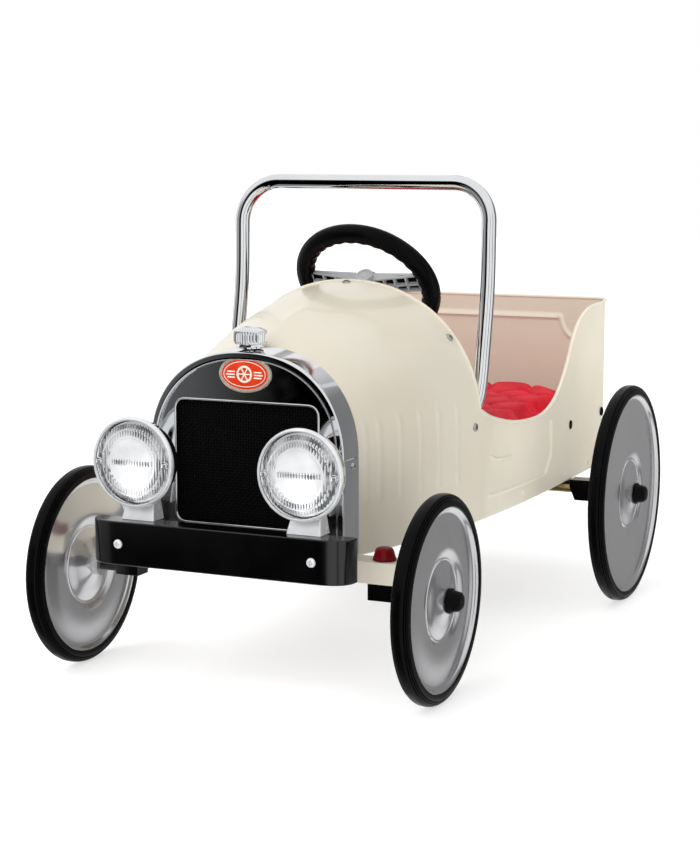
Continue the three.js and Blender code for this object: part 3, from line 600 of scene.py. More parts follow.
def make_floor():
    bm = bmesh.new()
    bmesh.ops.create_grid(bm, x_segments=2, y_segments=2, size=FLOOR_HALF)
    mesh = bpy.data.meshes.new("floor")
    bm.to_mesh(mesh)
    bm.free()
    shade = (FLOOR_SHADE, FLOOR_SHADE, FLOOR_SHADE, 1)
    look = Look("floor", shade, 0.6, Specular_IOR_Level=0.0, Emission_Color=(1, 1, 1, 1),
                Emission_Strength=FLOOR_GLOW)
    look.tinted((FLOOR_SHADE - 0.01, FLOOR_SHADE - 0.01, FLOOR_SHADE - 0.01, 1), 1.5)
    mesh.materials.append(look.material)
    floor = bpy.data.objects.new("floor", mesh)
    floor.location.z = -0.5 * MM
    floor.visible_glossy = False
    bpy.context.scene.collection.objects.link(floor)


def add_light(data, location, target):
    light = bpy.data.objects.new(data.name, data)
    light.location = location
    light.rotation_euler = (Vector(target) - Vector(location)).to_track_quat("-Z", "Y").to_euler()
    light.visible_glossy = False
    bpy.context.scene.collection.objects.link(light)


def wide_sun(name, direction, strength):
    """A soft light from a wide patch of the studio, as even over the floor as a sun."""
    data = bpy.data.lights.new(name, "SUN")
    data.angle = math.radians(50)
    data.energy = strength
    add_light(data, (0, 0, 0), -Vector(direction))


def tail_fill():
    """A soft spot on the left, for the side of the tail."""
    data = bpy.data.lights.new("tail_fill", "SPOT")
    data.energy = 75
    data.spot_size = math.radians(24)
    data.spot_blend = 1
    data.shadow_soft_size = 0.25
    data.use_shadow = False
    add_light(data, TAIL_FILL_PLACE, TAIL_FILL_TARGET)


def make_world():
    """White to the camera, even to dull surfaces, and a studio with dark flags to glossy ones."""
    world = bpy.data.worlds.new("studio")
    world.use_nodes = True
    nodes, links = world.node_tree.nodes, world.node_tree.links
    nodes.clear()

    def node(kind, inputs=(), **settings):
        made = nodes.new(kind)
        for key, value in settings.items():
            setattr(made, key, value)
        for socket, value in dict(inputs).items():
            if isinstance(value, bpy.types.NodeSocket):
                links.new(value, made.inputs[socket])
            else:
                made.inputs[socket].default_value = value
        return made

    def maths(operation, first, second):
        return node("ShaderNodeMath", {0: first, 1: second}, operation=operation).outputs[0]

    def product(first, *others):
        for other in others:
            first = maths("MULTIPLY", first, other)
        return first

    def soft_step(value, low, high):
        """From 0 at low to 1 at high; low may be the larger."""
        inputs = {"Value": value, "From Min": low, "From Max": high}
        return node("ShaderNodeMapRange", inputs, interpolation_type="SMOOTHSTEP").outputs["Result"]

    def white(strength):
        inputs = {"Color": (1, 1, 1, 1), "Strength": strength}
        return node("ShaderNodeBackground", inputs).outputs[0]

    rays = node("ShaderNodeLightPath").outputs

    def seen_by(ray, chosen, otherwise):
        return node("ShaderNodeMixShader", {0: rays[ray], 1: otherwise, 2: chosen}).outputs[0]

    parts = node("ShaderNodeSeparateXYZ", {0: node("ShaderNodeTexCoord").outputs["Generated"]})
    x, y, z = parts.outputs
    azimuth = maths("ARCTAN2", x, product(y, -1))
    # Behind the car, on its left, the studio is grey between its white floor and ceiling.
    horizon = product(soft_step(z, -0.46, -0.26), soft_step(z, 0.62, 0.34))
    grey = product(horizon, soft_step(azimuth, 1.9, 2.4), 0.77)
    # A wide dark flag stands ahead on the right, thinner towards its right end and above its foot.
    beside = maths("ADD", 0.7, product(soft_step(azimuth, -0.75, -0.62), 0.3))
    ahead = product(soft_step(azimuth, -1.6, -1.4), soft_step(azimuth, 0.02, -0.12), soft_step(z, 0.5, 0.3))
    thinned = product(soft_step(azimuth, -0.455, -0.52), soft_step(z, -0.24, -0.14))
    dark = product(ahead, beside, maths("SUBTRACT", 1.0, product(thinned, 0.115)))
    for edge, width in NARROW_FLAGS:
        first, last = edge - width / 2, edge + width / 2
        strip = product(soft_step(azimuth, first, first + 0.03), soft_step(azimuth, last, last - 0.03))
        dark = maths("MAXIMUM", dark, product(strip, soft_step(z, 0.6, 0.25)))
    bright = maths("SUBTRACT", 1.0, maths("MAXIMUM", dark, grey))
    sky = seen_by("Is Glossy Ray", white(product(bright, STUDIO_GLOSS)), white(STUDIO_AMBIENT))
    sky = seen_by("Is Transmission Ray", white(LAMP_GLOW), sky)
    sky = seen_by("Is Camera Ray", white(1), sky)
    node("ShaderNodeOutputWorld", {0: sky})
    bpy.context.scene.world = world


def make_studio():
    make_camera()
    make_floor()
    make_world()
    wide_sun("high_softbox", (-0.55, -0.25, 1), 1.1)
    wide_sun("front_softbox", (-0.1, -1, 0.55), 1.1)
    tail_fill()
    bpy.context.scene.view_settings.view_transform = "Standard"


make_studio()

# ---- Body ----
SIDE_ROWS = 80
ARCH_ROWS = 46
LOUVRES_Y = (32, 54, 89, 125, 160, 199)
LOUVRE_LOW, LOUVRE_HIGH = 194, 284
LOUVRE_HALF = 5.5
BEAD = [(477, 230), (477, 187), (456, 166), (275, 169)]
SIDE_PRESS, SMILE_PRESS, REAR_PRESS = (2.4, 0.4), (2, 0.3), (2.8, 0.6)  # each bead's height and half its flat
LEAN_RUN = 90  # how far behind the scuttle the tub's sides straighten out
SMILE = [(279, 215), (293, 210), (307, 208), (322, 207.5), (338, 206.5)]


def arch_outline(arch):
    """Half an arch as (x, z) points from its foot up to the crown: a superellipse over a straight side."""
    angle = np.linspace(0, math.pi / 2, 240)
    x = arch["half"] * np.clip(np.cos(angle), 0, 1) ** (2 / arch["power"])
    rise = (arch["top"] - arch["shoulder"]) * np.sin(angle) ** (2 / arch["power"])
    crease = arch["crease"] * np.clip(1 - x / CREASE_HALF, 0, 1) ** 2
    curve = np.stack([x, arch["shoulder"] + rise + crease], axis=1)
    curve[-1, 0] = 0
    return np.concatenate([[[arch["half"], arch.get("foot", SILL_Z)]], curve])


def blended(low, high, share):
    return {key: low[key] + (high[key] - low[key]) * share for key in high}


def louvre_relief(y, z):
    """How far the hood's shallow louvres stand out at (y, z): faint sides and crisper, rounded ends."""
    height = 0
    for centre in LOUVRES_Y:
        lean = (y - centre) / LOUVRE_HALF
        across = smooth(1.3 - 1.3 * abs(lean))
        above, below = z - LOUVRE_LOW, LOUVRE_HIGH - z
        ends = smooth((above - 2 * lean * lean) / 3.2) * smooth((below - 2 * lean * lean) / 3.2)
        crisp = 0.6 * np.exp(-((below - 6) / 5) ** 2) + 0.5 * np.exp(-((above - 6) / 5) ** 2)
        height = height + across * ends * (0.32 + crisp)
    return height


def hood_station(y):
    """One cross-section of the hood at y, from the left sill over the crown to the right sill."""
    share = np.clip((y - HOOD_LOW[1]) / (SCUTTLE_Y - HOOD_LOW[1]), 0, 1)
    arch = blended(FRONT_ARCH, SCUTTLE_ARCH, share + HOOD_SWELL * share * (1 - share))
    arch["crease"] = FRONT_ARCH["crease"] * (1 - share)
    if y < HOOD_LOW[1]:
        arch["half"] -= HOOD_TUCK
        arch["top"] -= HOOD_TUCK
    outline = arch_outline(arch)
    reach = lengths_along(outline)
    joint = np.interp(JOINT_Z - 8 * (1 - share), outline[:, 1], reach)
    lower = np.linspace(SHEET, joint, SIDE_ROWS)
    upper = np.linspace(joint, reach[-1], ARCH_ROWS)[1:]
    section = resampled(outline, np.concatenate([lower, upper]))
    along = np.gradient(section, axis=0)
    along /= np.linalg.norm(along, axis=1)[:, None]
    outward = np.stack([along[:, 1], -along[:, 0]], axis=1)
    section = section + outward * louvre_relief(y, section[:, 1])[:, None]
    fold = [(section[0, 0] - FLANGE, SILL_Z), (section[0, 0] - SHEET, SILL_Z)]
    whole = mirrored_path(np.concatenate([fold, section]))
    return np.column_stack([whole[:, 0], np.full(len(whole), y), whole[:, 1]])


def tub_plan():
    """The tub seen from above, from the left scuttle back round the tail to the right one."""
    corner_y = TAIL_Y - TAIL_CORNER
    y = np.linspace(SCUTTLE_Y, corner_y, 300)
    ahead = y < WAIST_Y
    share = (y - WAIST_Y) / np.where(ahead, SCUTTLE_Y - WAIST_Y, corner_y - WAIST_Y)
    x = WAIST_HALF - (WAIST_HALF - np.where(ahead, SCUTTLE_ARCH["half"], TAIL_HALF)) * share**2
    angle = np.linspace(0, math.pi / 2, 9)[1:]
    corner_x = TAIL_HALF - TAIL_CORNER
    corner = np.array([corner_x, corner_y]) + TAIL_CORNER * np.stack([np.cos(angle), np.sin(angle)], axis=1)
    rear_x = np.linspace(corner_x, 0, 90)[1:]
    rear = np.stack([rear_x, np.full(len(rear_x), TAIL_Y)], axis=1)
    return mirrored_path(np.concatenate([np.stack([x, y], axis=1), corner, rear]))


def tub_edge(plan):
    """The height of the tub's upper edge along its plan."""
    doorway = spline(DOORWAY, 400)
    side = np.interp(plan[:, 1], doorway[:, 0], doorway[:, 1])
    return side + (TAIL_TOP - doorway[-1, 1]) * smooth((plan[:, 1] - MEETING_Y) / (TAIL_Y - MEETING_Y))


def rear_bead_path():
    """The panel pressed in the tail: a rectangle with hollow corners, as (x, z) points."""
    quarter = [(0, 339), (106, 339), (107.5, 330), (112, 320), (119, 313), (129, 309), (129, 180)]
    return mirrored_path(np.array(quarter[::-1], float))


def raised_bead(path, height, flat, u, v):
    """The height at (u, v) of a bead pressed along a path, level for a little way on each side of it."""
    return height * (1 - smooth((distance_to(path, u, v) - flat) / height))


def tub_grid(first_column):
    """The tub's outer surface as rows from the sill up and columns round the plan.

    first_column is the hood's last section, where the tub takes over from it.
    """
    plan = tub_plan()
    edge = tub_edge(plan)
    share = np.linspace(0, 1, SIDE_ROWS)[:, None]
    z = SILL_Z + SHEET + (edge - SILL_Z - SHEET) * share
    x = np.repeat(plan[None, :, 0], SIDE_ROWS, axis=0)
    y = np.repeat(plan[None, :, 1], SIDE_ROWS, axis=0)
    # The scuttle's arch leans in above its shoulder; the tub straightens out behind it.
    lean = (SCUTTLE_ARCH["half"] - first_column[:, 0])[:, None] * (1 - smooth((y - SCUTTLE_Y) / LEAN_RUN))
    x = x - np.sign(x) * lean
    on_side = (y < TAIL_Y - TAIL_CORNER) & (y > SCUTTLE_Y + 3)
    on_rear = np.abs(y - TAIL_Y) < 0.01
    sides = raised_bead(BEAD, *SIDE_PRESS, y, z) + raised_bead(SMILE, *SMILE_PRESS, y, z)
    x = x + np.where(on_side, np.sign(x) * sides, 0)
    y = y - np.where(on_rear, raised_bead(rear_bead_path(), *REAR_PRESS, x, z), 0)
    inward = np.gradient(plan, axis=0)
    inward = np.stack([-inward[:, 1], inward[:, 0]], axis=1)
    inward /= np.linalg.norm(inward, axis=1)[:, None]
    centre = np.array([0, (SCUTTLE_Y + TAIL_Y) / 2])
    if np.dot(inward[0], centre - plan[0]) < 0:
        inward = -inward
    sill = np.full(len(plan), SILL_Z)
    folds = [np.column_stack([plan + inward * inset, sill]) for inset in (FLANGE, SHEET)]
    return np.concatenate([folds, np.stack([x, y, z], axis=-1)])


def make_body():
    near_louvres = [y + off for y in LOUVRES_Y for off in (-5.5, -4.2, -2.8, -1.4, 0, 0.9, 1.8, 2.7, 3.5)]
    tucked = (HOOD_LOW[1] - 3, HOOD_LOW[1] - 0.6)
    stations = sorted({*tucked, *np.linspace(HOOD_LOW[1], SCUTTLE_Y, 60), *near_louvres})
    hood = np.array([hood_station(y) for y in stations])
    rows = tub_grid(hood[-1, 2:SIDE_ROWS + 2, [0, 2]].T)
    # The tub's first and last columns are the hood's last station, so the two surfaces weld.
    rows[:, 0] = hood[-1, :SIDE_ROWS + 2]
    rows[:, -1] = hood[-1, ::-1][:SIDE_ROWS + 2]
    new_piece("body_shell", [grid(hood), grid(rows)], "cream_paint", sharp=55, sheet=SHEET,
              stands_for=("hood_shell", "side_panel_left", "side_panel_right", "rear_panel"))
    doorway = rows[-1] - np.array([0, 0, 0.4])
    arch = hood[-1, SIDE_ROWS + 1:len(hood[-1]) - SIDE_ROWS - 1]
    loop = np.concatenate([doorway[:-1], arch[::-1][:-1]])
    loop = resampled(np.concatenate([loop, loop[:1]]), np.linspace(0, lengths_along(loop)[-1], 420))
    new_piece("body_edge_bead", [sweep(loop, circle(LIP_RADIUS, 12), closed=True)], "cream_paint")


make_body()

# ---- Radiator ----
RADIATOR_LOW, RADIATOR_HIGH = span("radiator_shell")
FACE_Y = span("radiator_face")[0][1]
GRILLE_HALF, GRILLE_LOW, GRILLE_HIGH, GRILLE_CORNER = 84.5, 172, 305.5, 13
SHELL_SEAM_Z = 250
SHELL_WALL = 2.2


def radiator_arch(inset, y=None):
    """The radiator's whole outline at y, inset from its outer face, as (x, z) points from foot to foot."""
    share = 0 if y is None else (y - RADIATOR_LOW[1]) / (RADIATOR_HIGH[1] - RADIATOR_LOW[1])
    top = RADIATOR_HIGH[2] - 3 * (1 - share) - inset
    arch = {**FRONT_ARCH, "half": RADIATOR_HIGH[0] - inset, "top": top, "crease": 0, "foot": RADIATOR_LOW[2]}
    outline = arch_outline(arch)
    reach = lengths_along(outline)
    seam = np.interp(SHELL_SEAM_Z, outline[:, 1], reach)
    wanted = np.concatenate([np.linspace(0, seam - 0.25, 16), np.linspace(seam + 0.25, reach[-1], 64)])
    return mirrored_path(resampled(outline, wanted))


def radiator_shell():
    """Three chromed strips, two sides and a crown, with a rolled front lip."""
    front, rear = RADIATOR_LOW[1], RADIATOR_HIGH[1]
    lip = [(front + 6, 0), (front, 0), (front - 0.4, 4.4), (front + 0.6, 9), (front + 4, 9.4)]
    section = [(rear, SHELL_WALL), (rear, 0), *filleted(lip, 4.5, 6), (front + 6.5, SHELL_WALL)]
    rows = []
    for y, inset in section:
        outline = radiator_arch(inset, y)
        rows.append(np.column_stack([outline[:, 0], np.full(len(outline), max(y, front)), outline[:, 1]]))
    rows = np.array(rows)
    parts = []
    count = rows.shape[1]
    for first, last in ((0, 16), (16, count - 16), (count - 16, count)):
        points, faces = grid(rows[:, first:last], wrap_rows=True)
        columns = last - first
        faces.append(tuple(range(0, len(points), columns)))
        faces.append(tuple(range(columns - 1, len(points), columns))[::-1])
        parts.append((points, faces))
    new_piece("radiator_surround", parts, "chrome", stands_for=("radiator_shell",), sharp=50)


def woven_grille():
    """A woven wire screen in front of a black backing sheet."""
    pitch, wire, wave = 3.2, 0.5, 0.55  # between the wires, their radius, and how far each weaves
    half, low, high = GRILLE_HALF + 3, GRILLE_LOW - 3, GRILLE_HIGH + 3
    y = FACE_Y + 3.4
    parts = []
    columns = int(2 * half / pitch)
    rows = int((high - low) / pitch)
    for i in range(columns):
        x = -half + (i + 0.5) * pitch
        steps = np.arange(2 * rows + 1)
        woven = wave * (-1.0) ** (i + (steps + 1) // 2) * (steps % 2)
        path = np.stack([np.full(len(steps), x), y + woven, low + steps * pitch / 2], axis=1)
        parts.append(sweep(path, circle(wire, 5), up=(0, 1, 0)))
    for j in range(rows):
        z = low + (j + 0.5) * pitch
        steps = np.arange(2 * columns + 1)
        woven = wave * (-1.0) ** (j + (steps + 1) // 2) * (steps % 2)
        path = np.stack([-half + steps * pitch / 2, y - woven, np.full(len(steps), z)], axis=1)
        parts.append(sweep(path, circle(wire, 5)))
    parts.append(plate([rounded_rectangle(half + 2, low - 2, high + 2, GRILLE_CORNER)], y + 2.4, 1))
    new_piece("grille_screen", parts, "grille", stands_for=("grille_mesh",))


def radiator_face():
    outline = radiator_arch(SHELL_WALL + 1)
    hole = rounded_rectangle(GRILLE_HALF, GRILLE_LOW, GRILLE_HIGH, GRILLE_CORNER)
    new_piece("radiator_panel", [plate([outline, hole], FACE_Y, 1.6)], "chrome",
              stands_for=("radiator_face",))
    edge = np.column_stack([hole[:, 0], np.full(len(hole), FACE_Y + 0.3), hole[:, 1]])
    new_piece("grille_edge", [sweep(edge, circle(1.3, 10), closed=True)], "chrome")


def badge():
    """A domed oval enamel plate in a silver rim, with a plain wheel emblem between two sets of bars."""
    low, high = span("badge")
    centre = (low + high) / 2
    half_x, half_z = (high - low)[0] / 2, (high - low)[2] / 2
    back, front = high[1] - 0.1, low[1]

    def ellipse(across, up, y):
        return np.column_stack([centre[0] + circle(across, 96)[:, 0], np.full(96, y),
                                centre[2] + circle(up, 96)[:, 1]])

    def oval(inset, y):
        return ellipse(half_x - inset, half_z - inset, y)

    def line(path, radius, sides=8, **way):
        return sweep(path, circle(radius, sides), **way)

    rim = [oval(0.2, back), oval(0, back - 0.8), oval(0.5, front + 0.3), oval(1.8, front),
           oval(3, front + 0.3), oval(3.6, front + 1.1), oval(3.6, back)]
    new_piece("badge_rim", [grid(np.array(rim), wrap_rows=True, wrap_columns=True)], "badge_silver",
              stands_for=("badge",))
    dome = [oval(half_z - (half_z - 3.6) * share, front + 1.1 - 0.9 * (1 - share * share))
            for share in (0.02, 0.3, 0.55, 0.8, 1)]
    points, faces = grid(np.array(dome), wrap_columns=True)
    new_piece("badge_field", [(points, [*faces, tuple(range(96))])], "badge_enamel")
    y = front + 0.35
    flat = {"up": (0, 1, 0)}
    emblem = [line(oval(6.2, y + 0.35), 0.42, closed=True, **flat),
              line(ellipse(8, 8, y), 1.2, closed=True, **flat)]
    hub = np.array([centre[0], y, centre[2]])
    for turn in (0, math.pi / 3, 2 * math.pi / 3):
        arm = np.array([math.cos(turn), 0, math.sin(turn)]) * 7.4
        emblem.append(line([hub - arm, hub, hub + arm], 0.75, **flat))
    for sign in SIDES.values():
        for lift, inner, outer in ((2.4, 11, 20), (-0.6, 11.4, 21.5), (-3.6, 11, 20)):
            bar = [hub + (sign * reach, 0.3, lift) for reach in np.linspace(inner, outer, 9)]
            emblem.append(line(bar, 0.85, 10))
    new_piece("badge_emblem", emblem, "badge_ivory")


def radiator_cap():
    """A knurled cap with a stepped crown, on a neck with a hexagon."""
    low, high = span("radiator_cap")
    place = (*middle("radiator_cap")[:2], 0)
    radius = (high - low)[0] / 2
    top, base = high[2], high[2] - 18

    def knurl(along, radius_here, angle):
        ribbed = smooth((along - base - 1.5) / 1.2) * smooth((top - 4 - along) / 1.2)
        return radius_here - 1.1 * ribbed * (0.5 + 0.5 * np.cos(34 * angle)) ** 2

    knurled = [(z, radius) for z in (base + 2.4, *np.linspace(base + 3, top - 6, 5), top - 4.8)]
    crown = [(base, radius - 3), (base, radius - 1.2), (base + 1.2, radius), *knurled,
             (top - 4, radius - 0.4), (top - 3.4, radius - 1.6), (top - 2.8, radius - 3.4),
             (top - 1.2, radius - 6), (top - 0.3, 7), (top, 0.01)]
    neck = [(low[2], 14.2), (low[2] + 1.4, 14.2), (low[2] + 1.8, 12), (base - 0.4, 11.2), (base, 11.2)]
    hexagon = lathe([(low[2] + 1, 13.6), (base - 0.8, 13.6), (base - 0.4, 12.6)], 6, place, "z")
    turned = lathe([*neck, *crown], 204, place, "z", wave=knurl)
    new_piece("radiator_filler_cap", [turned, hexagon], "chrome", stands_for=("radiator_cap",))


radiator_shell()
woven_grille()
radiator_face()
badge()
radiator_cap()

# ---- Bumper ----
BUMPER_LOW, BUMPER_HIGH = span("bumper")
BUMPER_BEND = 34
BUMPER_SHEET = 1.8
BUMPER_STATIONS = 90


def bumper_plan(inset):
    """The bumper's front edge from above, from its left end round to its right end."""
    half, front = BUMPER_HIGH[0] - inset, BUMPER_LOW[1] + inset
    t = np.linspace(0, 1, 16)[:, None]
    start, corner, end = np.array([(half, BUMPER_HIGH[1]), (half, front), (half - BUMPER_BEND, front)])
    bend = (1 - t) ** 2 * start + 2 * t * (1 - t) * corner + t * t * end
    return evenly(mirrored_path(np.concatenate([bend, [[0, front]]])), BUMPER_STATIONS)


def bumper():
    low, high = BUMPER_LOW[2], BUMPER_HIGH[2]
    section = filleted([(7, low), (0, low), (0, high), (3, high)], 2.6, 5)
    rows = [np.column_stack([bumper_plan(inset), np.full(BUMPER_STATIONS, z)]) for inset, z in section]
    points, faces = grid(np.array(rows))
    faces.append(tuple(range(len(points) - BUMPER_STATIONS, len(points))))
    new_piece("bumper_pressing", [(points, faces)], "black_paint", sheet=BUMPER_SHEET,
              stands_for=("bumper",))


bumper()

# ---- Headlamps ----
LAMP_RIM = 48
STAND_LEAN = 8  # how far the stand's front has leant back at its top
LENS_HALF = 44
LENS_SEAT = 5.4  # how far the lens's back lies behind the front of the rim
STAND_TOP_HALF = 15.5


def lens_surface(x, z):
    """The lens's moulded front at (x, z) from its middle, as a distance out from its flat back."""
    radius = np.hypot(x, z)
    dome = 3.2 + 6.4 * np.clip(1 - (radius / LENS_HALF) ** 2, 0, 1)
    flutes = -0.5 * np.cos(2 * math.pi * x / FLUTE_PITCH)
    zones = sum(smooth((half - np.abs(radius - place)) / 0.8 + 0.5) for place, half in FLUTED_RINGS)
    bar = smooth((FLUTED_BAR[1] - np.abs(z)) / 0.8 + 0.5) * smooth((FLUTED_BAR[0] - np.abs(x)) / 1.5 + 0.5)
    foot = smooth((-z - 6) / 1) * smooth((8 - np.abs(x)) / 1) * smooth((26 - radius) / 1.5)
    step = 0.7 * np.exp(-((radius - 34) / 0.8) ** 2) + 0.5 * np.exp(-((radius - 27) / 0.8) ** 2)
    edge = smooth((LENS_HALF - 1.2 - radius) / 1)
    return dome + step + edge * (0.9 * zones + 1.1 * bar + 0.5 * foot) * flutes


def lamp(side):
    x0, _, z0 = middle(f"headlamp_rim_{side}")
    front = span(f"headlamp_rim_{side}")[0][1]
    back = span(f"headlamp_bucket_{side}")[1][1]
    at = (x0, front, z0)
    rim = [(6, 44.8), (6, LAMP_RIM), (4, LAMP_RIM), (0.6, 46.8), (0, 44.6), (3.4, 44.2)]
    rim = filleted(rim, 1.2, 5, closed=True)
    new_piece(f"lamp_bezel_{side}", [lathe(rim, 96, at, "y", closed=True)], "reflector",
              stands_for=(f"headlamp_rim_{side}",))
    depth = back - front
    bowl = [(6.3, 46.4), (8.6, 46.6), (10.4, 45.2), (13, 44.6), (19, 43.6), (26, 40.4), (32, 35.6),
            (37.5, 28), (41, 19.5), (depth - 0.6, 10), (depth, 0.01)]
    inner = [(d - 1.6, max(r - 1.5, 0.01)) for d, r in bowl[::-1]]
    shell = np.concatenate([evenly(spline(bowl, 60), 44), evenly(spline(inner, 60), 44)])
    new_piece(f"lamp_shell_{side}", [lathe(shell, 72, at, "y")], "chrome",
              stands_for=(f"headlamp_bucket_{side}",))
    mirror_line = [(9.6, 41.8), (13, 39), (19, 31.5), (25, 22), (29, 12), (30.5, 6), (31, 0.01)]
    new_piece(f"lamp_mirror_{side}", [lathe(evenly(spline(mirror_line, 60), 40), 72, at, "y")], "reflector",
              stands_for=(f"headlamp_reflector_{side}",))
    rings = np.concatenate([[0.02], np.linspace(0.6, LENS_HALF, 78)])[:, None]
    angle = turns(264)[None, :]
    u, v = rings * np.cos(angle), rings * np.sin(angle)
    face = np.stack([x0 + u, front + LENS_SEAT - lens_surface(u, v), z0 + v], axis=-1)
    u, v = u[::13], v[::13]
    rear = np.stack([x0 + u, np.full(u.shape, front + LENS_SEAT + 0.2), z0 + v], axis=-1)[::-1]
    points, faces = grid(np.concatenate([face, rear]), wrap_columns=True)
    new_piece(f"lamp_lens_{side}", [(points, faces)], "lens", sharp=60,
              stands_for=(f"headlamp_lens_{side}",))
    collar = [(0, 4.4), (-1.2, 4.2), (-1.6, 3.6), (-1.2, 2.4), (0.8, 2.4)]
    parts = []
    for sign in (-1, 1):
        x, z = x0 + sign * 39.2, z0 - 0.5
        parts.append(screw_head((x, front + 0.6, z), (0, -1, 0), 2.7, 1.3))
        parts.append(lathe(collar, 32, (x, front + 1.6, z), "y"))
    new_piece(f"lamp_screws_{side}", parts, "chrome")
    lamp_stand(side, x0, z0)


def lamp_stand(side, x0, z0):
    """A tapered channel, open to the rear and leaning back, whose top edge follows the lamp's shell."""
    low, high = span(f"headlamp_stand_{side}")
    foot_half, top_half = (high - low)[0] / 2, STAND_TOP_HALF
    front, back = low[1], high[1]
    corners = [(-1, back), (-1, front), (1, front), (1, back)]
    plan = filleted([(sx * foot_half, y) for sx, y in corners], 2.5, 5)
    rows = []
    for share in np.linspace(0, 1, 9):
        half = foot_half + (top_half - foot_half) * share
        x = plan[:, 0] * half / foot_half
        y = plan[:, 1] + STAND_LEAN * share * (back - plan[:, 1]) / (back - front)
        top = z0 - np.sqrt(np.clip(45.2**2 - x**2, 0, None)) + 2.5
        z = low[2] + (top - low[2]) * share
        rows.append(np.stack([x0 + x, y, z], axis=1))
    new_piece(f"lamp_bracket_{side}", [grid(np.array(rows))], "bright_zinc", sheet=1.5,
              stands_for=(f"headlamp_stand_{side}",), sharp=50)


for side in SIDES:
    lamp(side)

# ---- Windscreen frame ----
SCREEN_LOW, SCREEN_HIGH = span("windscreen_frame")
SCREEN_TUBE = 8.5
SCREEN_CORNER = 46
SCREEN_TOP = 529  # height of the middle of its crossing tube


def windscreen():
    """One bent tube, from inside the scuttle up, raked back, across and down again."""
    x = SCREEN_HIGH[0] - SCREEN_TUBE
    top_y = SCREEN_HIGH[1] - SCREEN_TUBE
    bend_lean = 8.5
    foot = SCREEN_LOW[2]
    leg = spline([(x - 8, 254.5, foot), (x - 8, 254.5, foot + 78), (x - 1, 261, 292), (x, 271, 340),
                  (x, 283.5, 410), (x, top_y - bend_lean, SCREEN_TOP - SCREEN_CORNER)], 60)
    angle = np.linspace(0, math.pi / 2, 16)[1:]
    across, drop = 1 - np.cos(angle), 1 - np.sin(angle)
    bend = np.stack([x - SCREEN_CORNER * across, top_y - bend_lean * drop, SCREEN_TOP - SCREEN_CORNER * drop],
                    axis=1)
    path = evenly(mirrored_path(np.concatenate([leg, bend, [[0, top_y, SCREEN_TOP]]])), 260)
    new_piece("windscreen_tube", [sweep(path, circle(SCREEN_TUBE, 28), up=(0, 1, 0))], "chrome",
              stands_for=("windscreen_frame",))


windscreen()

# ---- Steering wheel ----
STEERING_AXIS, STEERING_CENTRE = joint("name", "steering_turn")
WHEEL_RING = 78.5
WHEEL_GRIP = 11.5


def on_column(surface):
    """Moves a surface drawn round +X on to the steering axis, with its +Y to the car's right."""
    points, faces = surface
    right = np.array([-1.0, 0, 0])
    axes = np.array([STEERING_AXIS, right, np.cross(STEERING_AXIS, right)])
    return points @ axes + STEERING_CENTRE, faces


def steering_grip():
    """The rim, with finger rests moulded along its inner side."""
    around = turns(216)[:, None]
    round_grip = turns(28)[None, :]
    scallop = 0.5 + 0.5 * np.cos(30 * around)
    inner = smooth(-np.cos(round_grip))
    grip = WHEEL_GRIP - 1.3 * scallop * inner
    radius = WHEEL_RING + grip * np.cos(round_grip)
    points = np.stack([grip * np.sin(round_grip) * np.ones_like(around), radius * np.cos(around),
                       radius * np.sin(around)], axis=-1)
    new_piece("steering_grip", [on_column(grid(points, wrap_rows=True, wrap_columns=True))], "black_plastic",
              "steering", stands_for=("steering_wheel_rim",))


def bar_between(start, end, depth, width):
    """A rib that stands depth under the wheel's arms, from one (across, up) point to another."""
    start, end = np.array(start, float), np.array(end, float)
    side = np.array([end[1] - start[1], start[0] - end[0]])
    side *= width / 2 / np.linalg.norm(side)
    ring = np.array([start + side, end + side, end - side, start - side])
    return prism(*[np.column_stack([np.full(4, -level), ring]) for level in (0, depth)])


